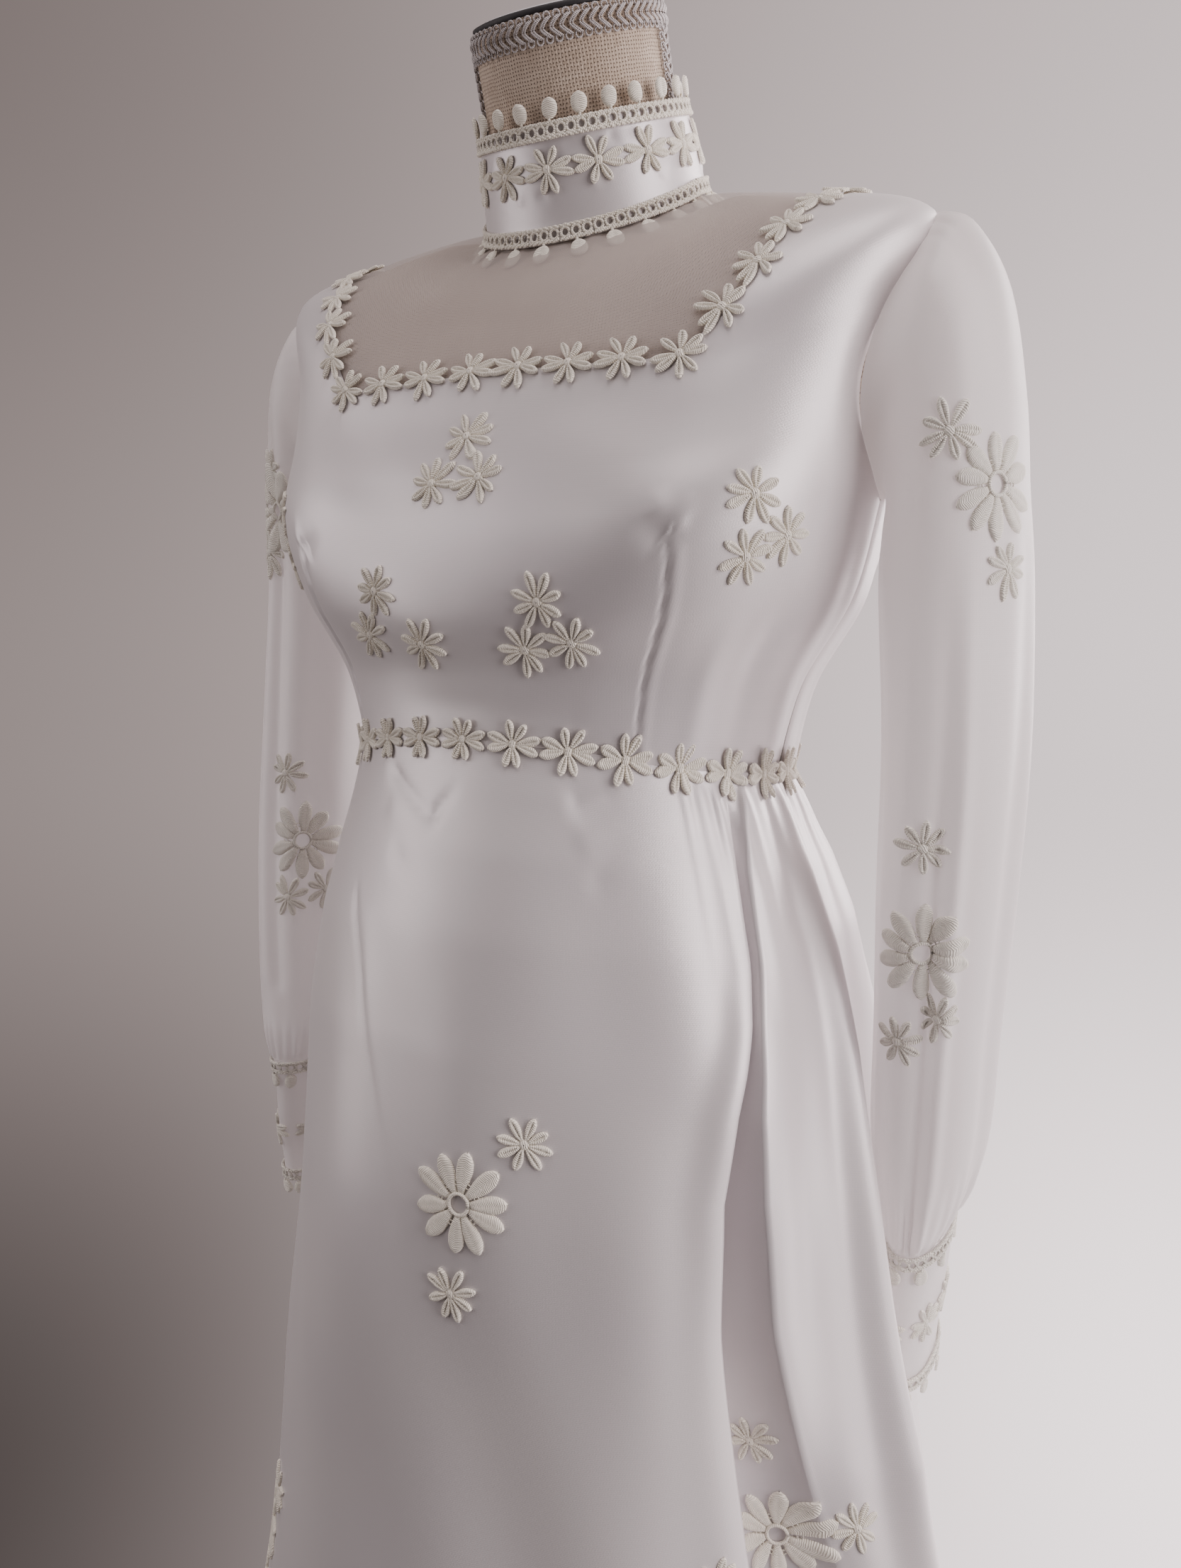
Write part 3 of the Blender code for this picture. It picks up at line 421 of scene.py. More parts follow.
# %% Piece makers
def make_piece(name, points, faces, flats, finish, replaced=()):
    """A mesh piece from points in millimetres, riding on the root body and finished with the given material."""
    mesh = bpy.data.meshes.new(name)
    points = np.asarray(points, float).reshape(-1, 3) * MM
    faces = np.asarray(faces, int)
    mesh.from_pydata(points.tolist(), [], faces.tolist())
    mesh.polygons.foreach_set("use_smooth", np.ones(len(faces), bool))
    layer = mesh.uv_layers.new(name="cloth")
    flats = np.asarray(flats, float).reshape(-1, 2) * MM
    layer.data.foreach_set("uv", flats[faces.ravel()].ravel())
    mesh.materials.append(finish)
    mesh.update()
    piece = add_object(name, mesh)
    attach(piece, "root")
    if replaced:
        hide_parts(*replaced)
    return piece


def grid_faces(rows, columns):
    start = (np.arange(rows - 1)[:, None] * columns + np.arange(columns - 1)[None, :]).ravel()
    return np.stack([start, start + 1, start + 1 + columns, start + columns], axis=1)


def run_lengths(points):
    steps = np.linalg.norm(np.diff(points, axis=0), axis=-1)
    return np.concatenate([np.zeros((1,) + steps.shape[1:]), np.cumsum(steps, axis=0)])


def cloth_flats(grid):
    """Lengths along each row, counted from its middle, and down the middle column."""
    along = run_lengths(grid.transpose(1, 0, 2)).T
    along = along - along[:, grid.shape[1] // 2][:, None]
    down = run_lengths(grid[:, grid.shape[1] // 2])
    return np.stack([along, np.broadcast_to(-down[:, None], along.shape)], axis=-1)


def grid_area(grid):
    a = grid[1:, 1:] - grid[:-1, :-1]
    b = grid[1:, :-1] - grid[:-1, 1:]
    return np.linalg.norm(np.cross(a, b), axis=-1).sum() / 2 * MM * MM


def make_cloth(name, grid, finish, replaced):
    """One cut panel. Its flat size is the grid's longest row and column, and its area the grid's own."""
    piece = make_piece(
        name, grid, grid_faces(*grid.shape[:2]), cloth_flats(grid), finish, replaced
    )
    width = run_lengths(grid.transpose(1, 0, 2))[-1].max() * MM
    length = run_lengths(grid)[-1].max() * MM
    area = max(grid_area(grid), 0.31 * width * length)
    print(f"{name}: cut {width:.3f} x {length:.3f} m, area {area:.4f} m2, {2 * grid[1:, 1:, 0].size} triangles")
    return piece


# %% [markdown]
# ## Camera, floor and light
#
# The camera stands at the height of the shoulders, two thirds of a metre away and thirty degrees to the dress's
# left, so near flowers look half as large again as far ones. The floor is a wide pale sheet that fades out. Four
# soft boxes light the dress from the right, the left, above and behind. The one on the right is the strongest:
# it draws the edge of each fold, and the front of the satin lies in soft shade.

# %% Camera at the photograph's place
HEADING, TILT, ROLL = 0.51494, -0.13572, 0.01385
look = Vector((-math.sin(HEADING) * math.cos(TILT), math.cos(HEADING) * math.cos(TILT), math.sin(TILT)))
level = Vector((math.cos(HEADING), math.sin(HEADING), 0))
rise = level.cross(look)
right = level * math.cos(ROLL) + rise * math.sin(ROLL)
above = rise * math.cos(ROLL) - level * math.sin(ROLL)
camera_data = bpy.data.cameras.new("photo_camera")
camera = add_object("photo_camera", camera_data)
facing = Matrix((right, above, -look)).transposed().to_4x4()
camera.matrix_world = Matrix.Translation((0.3199, -0.5478, 1.2020)) @ facing
camera_data.sensor_fit = "AUTO"
camera_data.lens = 27.03
camera_data.clip_start = 0.02
bpy.context.scene.camera = camera
print("camera", [round(v, 3) for v in camera.location], "lens", camera_data.lens)

# %% Floor, world and soft boxes
def make_floor():
    made, tree, shader = start_material("pale floor")
    mottle = place_group(tree, mottle_group, {"Size": 0.6, "Contrast": 0.8})
    set_colour(tree, shader, mottle.outputs["Shade"], (0.50, 0.47, 0.455), (0.54, 0.51, 0.495))
    set_sockets(shader, {"Roughness": 0.95, "Specular IOR Level": 0.1})
    place = put(tree, "ShaderNodeTexCoord")
    reach = put(tree, "ShaderNodeVectorMath", {"operation": "LENGTH"}, {0: place.outputs["Object"]})
    fading = put(
        tree, "ShaderNodeMapRange", {"interpolation_type": "SMOOTHSTEP"},
        {0: reach.outputs["Value"], 1: 0.25, 2: 0.75, 3: 1.0, 4: 0.0},
    )
    tree.links.new(fading.outputs[0], shader.inputs["Alpha"])
    turns = np.linspace(0, 2 * math.pi, 97)[:-1]
    rim = 1.2 * np.stack([np.cos(turns), np.sin(turns), 0 * turns - 0.0004], axis=-1)
    mesh = bpy.data.meshes.new("floor")
    mesh.from_pydata(rim.tolist(), [], [tuple(range(len(rim)))])
    mesh.materials.append(made)
    add_object("floor", mesh)


def soft_box(name, place, size, power):
    """A rectangular light that looks at the middle of the dress."""
    data = bpy.data.lights.new(name, "AREA")
    data.shape = "RECTANGLE"
    data.size, data.size_y = size
    data.energy = power
    data.color = ROSE_WHITE
    light = add_object(name, data)
    light.location = place
    light.rotation_euler = (DRESS_MIDDLE - Vector(place)).to_track_quat("-Z", "Y").to_euler()


make_floor()
ROSE_WHITE = (1.0, 0.90, 0.905)
DRESS_MIDDLE = Vector((0, 0, 1.0))
soft_box("right_box", (2.3, -0.15, 1.5), (1.3, 2.2), 62)
soft_box("left_box", (-1.9, -1.35, 1.6), (1.7, 2.2), 30)
soft_box("back_box", (1.0, 2.2, 1.8), (1.3, 2.0), 65)
soft_box("top_box", (0.3, -0.5, 3.2), (1.5, 1.5), 24)

# %% [markdown]
# The room is a backdrop that grows lighter from left to right, and more so low down. It is painted on the world
# by direction, in three bands of height, so it also lights the dress the way the real wall does. The part of the
# room behind the camera is kept dark, which leaves the middle of the satin in shade.

# %% Backdrop
# Rows: top, middle and low band. Columns: brightness far left, at the view's left edge, in its middle, at its
# right edge, and far right.
BANDS = (
    (0.14, 0.16, 0.42, 0.95, 1.2),
    (0.24, 0.30, 0.62, 1.35, 1.6),
    (0.02, 0.02, 0.34, 2.90, 3.0),
)
BRIGHTEST = 3.0
SIDE_STOPS = (0.0, 0.275, 0.49, 0.70, 1.0)
world = bpy.data.worlds.new("soft grey room")
world.use_nodes = True
bpy.context.scene.world = world
room = world.node_tree
direction = put(room, "ShaderNodeTexCoord")
toward_right = put(
    room, "ShaderNodeVectorMath", {"operation": "DOT_PRODUCT"}, {0: direction.outputs["Generated"], 1: tuple(level)}
)
toward_back = put(
    room, "ShaderNodeVectorMath", {"operation": "DOT_PRODUCT"},
    {0: direction.outputs["Generated"], 1: (-level.y, level.x, 0.0)},
)
height = put(room, "ShaderNodeSeparateXYZ", None, {0: direction.outputs["Generated"]}).outputs[2]
sideways = reckon(room, "MULTIPLY_ADD", toward_right.outputs["Value"], 0.5, 0.5)


def band(values):
    ramp = room.nodes.new("ShaderNodeValToRGB")
    ramp.color_ramp.interpolation = "B_SPLINE"
    while len(ramp.color_ramp.elements) < len(values):
        ramp.color_ramp.elements.new(0.5)
    for stop, place, value in zip(ramp.color_ramp.elements, SIDE_STOPS, values):
        light = min(value, 1.2)
        stop.position = place
        shade = value / BRIGHTEST
        stop.color = (shade, shade * (0.80 + 0.06 * light), shade * (0.75 + 0.11 * light), 1)
    room.links.new(sideways, ramp.inputs[0])
    return ramp.outputs[0]


top_band, middle_band, low_band = (band(values) for values in BANDS)
rising = put(room, "ShaderNodeMapRange", {"interpolation_type": "SMOOTHSTEP"}, {0: height, 1: -0.05, 2: 0.5})
sinking = put(
    room, "ShaderNodeMapRange", {"interpolation_type": "SMOOTHSTEP"}, {0: height, 1: -0.1, 2: -0.6, 3: 0.0, 4: 1.0}
)
upper = blend_colours(room, rising.outputs[0], middle_band, top_band)
whole = blend_colours(room, sinking.outputs[0], upper, low_band)
facing = put(
    room, "ShaderNodeMapRange", {"interpolation_type": "SMOOTHSTEP"},
    {0: toward_back.outputs["Value"], 1: -0.6, 2: 0.25, 3: 0.12 * BRIGHTEST, 4: BRIGHTEST},
)
room.links.new(whole, room.nodes["Background"].inputs["Color"])
room.links.new(facing.outputs[0], room.nodes["Background"].inputs["Strength"])

# %% [markdown]
# ## The upper body
#
# The bodice, the yoke and the form below them all follow the same ten rings, from the neck to the raised waist
# seam. A ring is a rounded rectangle with its own width and depth. It sinks in front and behind, because
# shoulders are higher than a neckline, and two soft bumps give the bust.

# %% Rings of the upper body
SATIN, THIN = 1.5, 1.0
# Columns: sideways shift, half width, depth in front, depth behind, middle y, height at the side, in front
# and behind, squareness of the outline, and bow, which says how fast the height changes from the side.
BODY_RINGS = np.array(
    (
        (0, 57, 52.85, 52.85, 16, 1412, 1382.6, 1433.4, 2.0, 1.0),
        (0, 82, 70, 72, 9, 1408, 1357, 1417, 2.0, 1.3),
        (2, 126, 80, 88, 6, 1398, 1338, 1386, 2.1, 1.7),
        (6, 174, 87, 100, 2, 1381, 1318, 1347, 2.25, 2.0),
        (7, 168, 97, 106, 1, 1342, 1291, 1312, 2.35, 2.0),
        (7, 160, 108, 109, 0, 1300, 1264, 1278, 2.4, 2.0),
        (7, 154, 115, 108, 0, 1262, 1238, 1246, 2.4, 2.0),
        (5, 145, 114, 104, 0, 1217, 1207, 1208, 2.3, 2.0),
        (2, 125, 107, 98, 1, 1175, 1178, 1168, 2.15, 2.0),
        (0, 115.5, 105, 97, 2, 1131, 1148, 1121, 2.05, 2.0),
    )
)
TIP, UNDERARM, WAIST = 3.0, 6.0, 9.0


def body_form(angle, ring):
    """The inside of the cloth; angle in degrees from the centre front towards the dress's left."""
    angle, ring = np.broadcast_arrays(np.asarray(angle, float), np.asarray(ring, float))
    columns = np.moveaxis(smooth_rows(BODY_RINGS, ring), -1, 0)
    sideways, half_width, front, back, middle, side_z, front_z, back_z, square, bow = columns
    sine, cosine = np.sin(np.radians(angle)), np.cos(np.radians(angle))
    across, along = signed_power(sine, 2 / square), signed_power(cosine, 2 / square)
    depth, end_z = np.where(along > 0, front, back), np.where(along > 0, front_z, back_z)
    height = side_z + (end_z - side_z) * np.abs(cosine) ** bow
    bust = sum(14 * np.exp(-(((angle - side * 43) / 21) ** 2) - ((ring - 6.1) / 1.15) ** 2) for side in (-1, 1))
    x, y = sideways + half_width * across + bust * sine / 2, middle - depth * along - bust * cosine
    return np.stack([x, y, height], -1)


def over_body(lift_of):
    """A surface that lies lift_of(angle, ring) millimetres outside the upper body's form."""

    def surface(angle, ring):
        out = facing_out(body_form, angle, np.clip(ring, 0.02, WAIST - 0.02), 0.5, 0.02)
        return body_form(angle, ring) + out * np.asarray(lift_of(angle, ring))[..., None]

    return surface


# %% [markdown]
# ### The square neckline and the armholes
#
# The satin's upper edge runs level across the chest, turns sharply at two corners and climbs to the shoulders.
# It is a short table: which ring the edge lies on at each angle. Each armhole bites an oval out of the side
# seam, so the panels' columns shrink towards it.

# %% Edges of the panels
NECKLINE = np.array(
    (
        (0, 3.1), (10.5, 3.25), (18.5, 3.4), (28.3, 3.65), (32, 3.33), (37.2, 3.0), (46.2, 2.62), (60.5, 2.32),
        (90, 2.21), (115, 2.36), (133, 2.56), (152, 3.0), (180, 3.0),
    )
)


def neckline_ring(angle):
    return np.interp(np.abs(angle), NECKLINE[:, 0], NECKLINE[:, 1])


def armhole_reach(ring):
    part = np.clip(np.abs(np.asarray(ring) - 4.5) / 1.5, 0, 1)
    return 18 * np.cos(part * math.pi / 2) ** 0.7


def panel_cells(across, down, top_of, bottom_of, back):
    """Angles and rings of a front or left back panel; across is -1 to 1 in front and 0 to 1 at the back."""
    across, down = np.meshgrid(across, down)
    angle = 90 + 90 * across if back else 90 * across
    for _ in range(14):
        ring = top_of(angle) + (bottom_of(angle) - top_of(angle)) * down
        reach = armhole_reach(ring)
        angle = 90 + reach + across * (90 - reach) if back else across * (90 - reach)
    return angle, ring


def waist_ring(angle):
    return np.full_like(np.asarray(angle, float), WAIST)


def neck_ring(angle):
    return np.zeros_like(np.asarray(angle, float))


# %% [markdown]
# ### Darts and pulls in the satin front
#
# Two darts run from the waist seam up to the bust. A dart is a stitched fold, so it shows as a fine groove that
# ends in a small dimple, with a soft roll beside it. From each armhole a long pull runs down towards the waist.
# These go in as soft ridges and troughs; a cloth simulation would lose the exact places.

# %% Slack in the cloth
# Columns: waves across and down over the whole piece, phase, share.
SLACK_WAVES = (
    (5, 2.1, 0.4, 1.0), (8, -3.2, 2.2, 0.8), (12, 1.3, 4.1, 0.5), (3, 5.4, 1.1, 0.6), (14, -5.6, 5.2, 0.35),
)


def slack(across, down, height):
    """Slow uneven waves, as a hung satin has; across and down are shares of the piece."""
    turn = 2 * math.pi
    waves = sum(share * np.sin(turn * (a * across + b * down) + phase) for a, b, phase, share in SLACK_WAVES)
    return height * waves


# %% The satin's own relief
# Columns: start angle, ring, end angle, ring, half width, height, share lost by its end, share for its start.
BODICE_CREASES = (
    (35.2, 6.27, 41.2, 9.0, 0.9, -1.3, 0.1, 0.02),
    (36.9, 6.3, 42.8, 9.0, 2.6, 0.55, 0.4, 0.05),
    (34.6, 6.27, 28.5, 5.98, 5.5, -2.6, 1.0, 0.1),
    (36.0, 6.2, 38.0, 5.75, 3.2, 1.5, 1.0, 0.1),
    (33.0, 6.0, 30.5, 5.6, 5.0, 1.2, 1.0, 0.2),
    (-35.2, 6.27, -41.2, 9.0, 0.9, -1.3, 0.1, 0.02),
    (-36.9, 6.3, -42.8, 9.0, 2.6, 0.55, 0.4, 0.05),
    (-34.6, 6.27, -28.5, 5.98, 5.5, -2.2, 1.0, 0.1),
    (-36.0, 6.2, -38.0, 5.75, 3.2, 1.2, 1.0, 0.1),
    (73.0, 5.4, 84.0, 9.0, 7.0, 1.2, 0.6, 0.6),
    (82.0, 5.7, 88.5, 9.0, 6.0, -1.0, 0.5, 0.6),
    (62.0, 6.2, 66.0, 9.0, 8.0, -1.1, 0.4, 0.6),
    (52.0, 6.9, 54.0, 9.0, 8.0, 1.3, 0.4, 0.5),
    (66.0, 4.0, 76.0, 5.6, 9.0, -1.6, 0.4, 0.5),
    (-75.0, 5.6, -84.0, 9.0, 5.0, 2.0, 0.5, 0.4),
    (-66.0, 5.6, -70.0, 9.0, 7.0, -1.6, 0.4, 0.4),
    (-66.0, 4.0, -76.0, 5.6, 9.0, -1.4, 0.4, 0.5),
    (-26.0, 8.4, 24.0, 8.5, 9.0, -1.0, 0.5, 0.5),
)
BACK_CREASES = (
    (128.0, 4.2, 140.0, 6.5, 8.0, 1.5, 1.0, 0.3),
    (150.0, 6.0, 146.0, 9.0, 0.9, -1.3, 0.1, 0.02),
    (113.0, 6.0, 122.0, 9.0, 7.0, -1.8, 0.4, 0.4),
    (168.0, 5.0, 174.0, 9.0, 8.0, 1.4, 0.7, 0.5),
    (100.0, 6.2, 103.0, 9.0, 5.0, 1.6, 0.5, 0.4),
)


# The usual millimetres from one ring to the next.
RING_STEP = 37.0


def edge_roll(distance, depth, width):
    """Cloth that turns in towards a seam, by distance from the seam in millimetres."""
    return -depth * np.exp(-np.maximum(distance, 0) / width)


def satin_lift(table, per_degree, mirrored):
    """How far the satin stands outside the body; per_degree is the body's millimetres in one degree."""

    def lift(angle, ring):
        angle, ring = np.asarray(angle, float), np.asarray(ring, float)
        loose = slack(angle / 360, ring / 12, 0.5) * between(ring, 3.2, 4.5)
        return SATIN + creases(np.abs(angle) if mirrored else angle, ring, table, per_degree, RING_STEP) + loose

    return lift


satin_front = over_body(satin_lift(BODICE_CREASES, 2.35, False))
satin_back = over_body(satin_lift(BACK_CREASES, 2.1, True))


# %% Bodice panels
def bodice_grid(surface, across, down, back, side=1):
    angle, ring = panel_cells(across, down, neckline_ring, waist_ring, back)
    points = surface(side * angle, ring)
    out = facing_out(body_form, side * angle, np.clip(ring, 0.02, WAIST - 0.02), 0.5, 0.02)
    reach = np.abs(across)[None, :]
    seam = (reach if back else 1 - reach) * 190.0
    roll = edge_roll(seam, 1.1, 1.8) + edge_roll(down[:, None] * 240.0, 1.0, 1.2)
    if back:
        roll = roll + edge_roll((1 - reach) * 190.0, 0.9, 1.5)
    grid = points + out * roll[..., None]
    return grid if side > 0 else grid[:, ::-1]


front_across = np.linspace(-1, 1, 241)
bodice_down = np.linspace(0, 1, 91)
bodice_front = make_cloth(
    "satin_bodice_front", bodice_grid(satin_front, front_across, bodice_down, False), satin,
    ["bodice_front"],
)
for side, word in ((1, "left"), (-1, "right")):
    make_cloth(
        f"satin_bodice_back_{word}", bodice_grid(satin_back, np.linspace(0, 1, 91), bodice_down, True, side), satin,
        [f"bodice_back_{word}"],
    )


# %% [markdown]
# ### The sheer yoke
#
# The yoke fills the space between the square neckline and the collar. It is one layer of organza laid close over
# the linen, with faint ripples where the collar seam draws it in. It runs a little way under the satin's edge,
# as a lapped seam does.

# %% Yoke panels
def yoke_lift(angle, ring):
    pull = 0.35 * np.sin(np.radians(angle) * 17) + 0.25 * np.sin(np.radians(angle) * 29 + 1.3)
    return THIN - 0.25 + pull * np.exp(-ring / 0.45)


yoke_surface = over_body(yoke_lift)


def under_neckline(angle):
    return neckline_ring(angle) + 0.12


def yoke_grid(across, down, back, side=1):
    angle, ring = panel_cells(across, down, neck_ring, under_neckline, back)
    out = facing_out(body_form, side * angle, np.clip(ring, 0.02, WAIST - 0.02), 0.5, 0.02)
    tucked = -0.6 * between(down, 0.9, 1.0)[:, None, None]
    grid = yoke_surface(side * angle, ring) + out * tucked
    return grid if side > 0 else grid[:, ::-1]


yoke_down = np.linspace(0, 1, 46)
make_cloth(
    "sheer_yoke_front", yoke_grid(np.linspace(-1, 1, 121), yoke_down, False), organza, ["yoke_front"],
)
for side, word in ((1, "left"), (-1, "right")):
    make_cloth(
        f"sheer_yoke_back_{word}", yoke_grid(np.linspace(0, 1, 61), yoke_down, True, side), organza,
        [f"yoke_back_{word}"],
    )


# %% [markdown]
# ## The stand collar
#
# The collar is a straight band that leans forward with the neck. It narrows a little towards the top, dips a
# little at the front, and lies in small puckers where the lace was sewn on by hand.

# %% Points round the neck
NECK_BASE = np.array((0.0, 16.0, 1412.0))
NECK_LEAN = math.radians(22)
COLLAR_HEIGHTS, COLLAR_RADII = (1.4, 14, 30, 44), (57, 55.6, 53.4, 51.4)


def round_neck(angle, height, radius):
    """Points round the leaning neck; height is measured along the neck from its foot."""
    turn = np.radians(angle)
    axis = np.array((0, -math.sin(NECK_LEAN), math.cos(NECK_LEAN)))
    behind = np.array((0, math.cos(NECK_LEAN), math.sin(NECK_LEAN)))
    side = np.array((1.0, 0, 0))
    height, radius = np.asarray(height)[..., None], np.asarray(radius)[..., None]
    return NECK_BASE + height * axis + radius * (np.sin(turn)[..., None] * side - np.cos(turn)[..., None] * behind)


# Columns: start angle, minus height, end angle, minus height, half width, height, share lost, share for its start.
COLLAR_PUCKERS = (
    (-28, -34, -22, -20, 2.5, -0.8, 1, 0.2), (-12, -12, -9, -19, 2.2, 0.8, 1, 0.2),
    (2, -12, 4, -18, 2.6, -0.8, 1, 0.2), (14, -36, 18, -30, 2.4, 0.8, 1, 0.2),
    (28, -14, 31, -22, 2.6, 0.8, 1, 0.2), (40, -36, 45, -29, 2.4, -0.8, 1, 0.2),
    (54, -36, 57, -26, 2.5, 0.7, 1, 0.2), (64, -12, 70, -22, 2.6, -0.7, 1, 0.2),
    (80, -36, 84, -28, 2.6, 0.7, 1, 0.2), (110, -12, 116, -22, 3.0, 0.8, 1, 0.2),
    (150, -36, 144, -28, 3.0, 0.8, 1, 0.2), (-40, -13, -44, -20, 2.6, 0.8, 1, 0.2),
    (-80, -12, -88, -22, 3.0, 0.8, 1, 0.2), (-120, -36, -128, -28, 3.0, 0.8, 1, 0.2),
)


def collar_surface(angle, depth):
    """The collar's outer face; depth is minus the height, so that it runs down."""
    angle, depth = np.broadcast_arrays(np.asarray(angle, float), np.asarray(depth, float))
    height = -depth
    radius = np.interp(height, COLLAR_HEIGHTS, COLLAR_RADII) + THIN + 0.35 * np.maximum(0, 1.4 - height)
    radius = radius + creases(angle, depth, COLLAR_PUCKERS, 0.98, 1.0)
    return round_neck(angle, height, radius)


def collar_dip(angle):
    """How much lower the collar's foot lies in front than at the sides."""
    return 8.0 * np.maximum(0, np.cos(np.radians(angle)))


collar_angles, collar_shares = np.meshgrid(np.linspace(-179.7, 179.7, 217), np.linspace(0, 1, 31))
collar_depths = -44 + collar_shares * (42.6 + collar_dip(collar_angles))
make_cloth(
    "satin_collar", collar_surface(collar_angles, collar_depths), satin, ["collar"],
)

# %% [markdown]
# ## The skirt
#
# The skirt is cut in an A line: plain in front, and gathered from outside the darts round to the back. A gather
# is a small fold that is sharp at the seam and melts into the cloth below. One deep fold on the dress's left
# starts at the seam and runs the whole way down: its near side is a crisp roll that hides a hollow behind it.

# %% Rings, gathers and folds of the skirt
# Columns: height, sideways shift, half width, depth in front, depth behind, squareness of the back half.
SKIRT_RINGS = np.array(
    (
        (1131, 0, 115.5, 105, 97, 2.05),
        (1110, 2, 121, 112, 110, 2.1),
        (1084, 4, 129, 122, 131, 2.2),
        (1050, 5, 138, 132, 154, 2.35),
        (1000, 5, 147, 140, 179, 2.45),
        (930, 5, 153, 148, 206, 2.5),
        (840, 5, 157, 153, 232, 2.5),
        (740, 6, 169, 159, 256, 2.5),
        (600, 6, 190, 168, 279, 2.5),
        (440, 5, 213, 180, 297, 2.5),
        (280, 4, 233, 194, 308, 2.45),
        (130, 2, 248, 207, 315, 2.4),
        (20, 0, 259, 216, 320, 2.4),
    )
)
SKIRT_TOP, SKIRT_HEM = SKIRT_RINGS[0, 0], SKIRT_RINGS[-1, 0]
# Columns: angle at the waist and at the hem, half width in degrees at the waist and at the hem, rise near
# the waist, at mid height and at the hem.
FOLDS = (
    (76, 81, 4, 8, -2.0, 17, -5),
    (84, 88.5, 3.8, 6, 7.0, 38, 15),
    (93, 106, 3.5, 8, -2.0, -6, -7),
    (102, 118, 4, 8, 2.6, -1, 13),
    (111, 128, 4, 8, 2.4, 7, 13),
    (122, 139, 4.5, 8, 2.8, 9, 15),
    (133, 149, 4, 7, 2.4, 8, 13),
    (144, 158, 4.5, 7, 2.8, 9, 15),
    (155, 167, 4, 6, 2.4, 8, 13),
    (167, 175, 4, 5, 2.6, 8, 13),
    (-61, -69, 3.8, 6, -2.4, -6, -8),
    (-68, -79, 4, 8, 3.2, 8, 13),
    (-77, -90, 4, 8, -2.2, -5, -7),
    (-86, -101, 3.5, 8, 2.4, 3, 11),
    (-96, -112, 4, 8, 2.6, 4, 13),
    (-106, -124, 4, 8, 2.4, 8, 14),
    (-118, -136, 4.5, 8, 2.8, 9, 13),
    (-130, -147, 4, 7, 2.4, 8, 15),
    (-142, -158, 4.5, 7, 2.6, 9, 13),
    (-155, -169, 4, 6, 2.4, 8, 14),
)
# The deep fold. Columns: drop, angle of the near edge, angle of the crisp far edge, depth of the hollow, swell of
# the near edge, height of the far edge, how wide the near edge slopes in degrees, and how late the climb comes.
DEEP_FOLD = np.array(
    (
        (0.0, 65.5, 70.5, 0.0, 0.0, 0.0, 1.0, 2.6),
        (0.012, 63.8, 69.0, -3.0, 0.8, 2.0, 1.0, 2.6),
        (0.04, 61.8, 65.0, -8.0, 1.5, 3.0, 1.0, 2.6),
        (0.078, 61.3, 63.6, -11.0, 2.5, 4.5, 0.8, 2.6),
        (0.1, 59.8, 61.8, -14.0, 3.5, 5.5, 0.8, 2.6),
        (0.133, 55.8, 60.2, -21.0, 4.0, 7.0, 1.1, 2.6),
        (0.168, 53.4, 60.4, -26.0, 3.5, 8.0, 1.3, 2.6),
        (0.222, 53.6, 62.6, -28.0, 3.0, 9.0, 1.5, 2.6),
        (0.273, 55.8, 67.5, -26.0, 3.0, 9.5, 2.0, 2.2),
        (0.36, 59.0, 76.0, -19.0, 3.0, 10.0, 2.4, 1.4),
        (0.6, 61.5, 78.5, -18.0, 3.0, 12.0, 2.8, 1.2),
        (1.0, 63.5, 81.0, -18.0, 3.0, 14.0, 3.2, 1.2),
    )
)
# Creases below the waist. Columns: start angle, drop, end angle, drop, half width, height, share lost, and share
# for its start.
SKIRT_CREASES = (
    (-24.5, 0.01, -5.0, 0.031, 3.2, -2.2, 0.3, 0.3),
    (-5.0, 0.031, 1.0, 0.017, 3.2, -1.9, 1.0, 0.1),
    (-21.0, 0.026, -8.0, 0.036, 5.0, 1.1, 1.0, 0.4),
    (-16.0, 0.043, -3.0, 0.058, 3.4, -1.7, 0.9, 0.3),
    (24.0, 0.022, 33.0, 0.014, 6.5, -2.4, 0.5, 0.4),
    (26.5, 0.036, 33.0, 0.026, 6.0, 1.2, 0.9, 0.4),
    (29.0, 0.052, 36.0, 0.036, 5.5, -1.2, 0.8, 0.4),
    (-27.0, 0.059, -19.0, 0.09, 1.3, -1.1, 0.0, 0.3),
    (-19.0, 0.09, -4.3, 0.187, 1.5, -1.3, 0.6, 0.05),
    (-22.0, 0.06, 0.0, 0.187, 7.0, 1.6, 0.8, 0.4),
    (52.0, 0.0, 54.2, 0.085, 2.0, 0.9, 1.0, 0.05),
    (55.0, 0.0, 57.5, 0.09, 3.0, -0.9, 1.0, 0.05),
    (10.0, 0.12, 14.0, 0.4, 30.0, -3.0, 0.9, 0.5),
    (40.0, 0.05, 48.0, 0.45, 26.0, 3.5, 0.7, 0.4),
)


def fold_rise(angle, drop):
    rise = np.zeros(np.broadcast(angle, drop).shape)
    for top, hem, wide_top, wide_hem, near, mid, low in FOLDS:
        centre = top + (hem - top) * np.minimum(1, drop * 1.6) ** 0.8
        width = wide_top + (wide_hem - wide_top) * np.minimum(1, drop * 1.4)
        away = (angle - centre + 180) % 360 - 180
        height = np.interp(drop, (0, 0.012, 0.06, 0.3, 0.45, 1), (0, 0.2 * near, near, mid, mid, low))
        rise += height * np.exp(-((away / width) ** 2))
    return rise


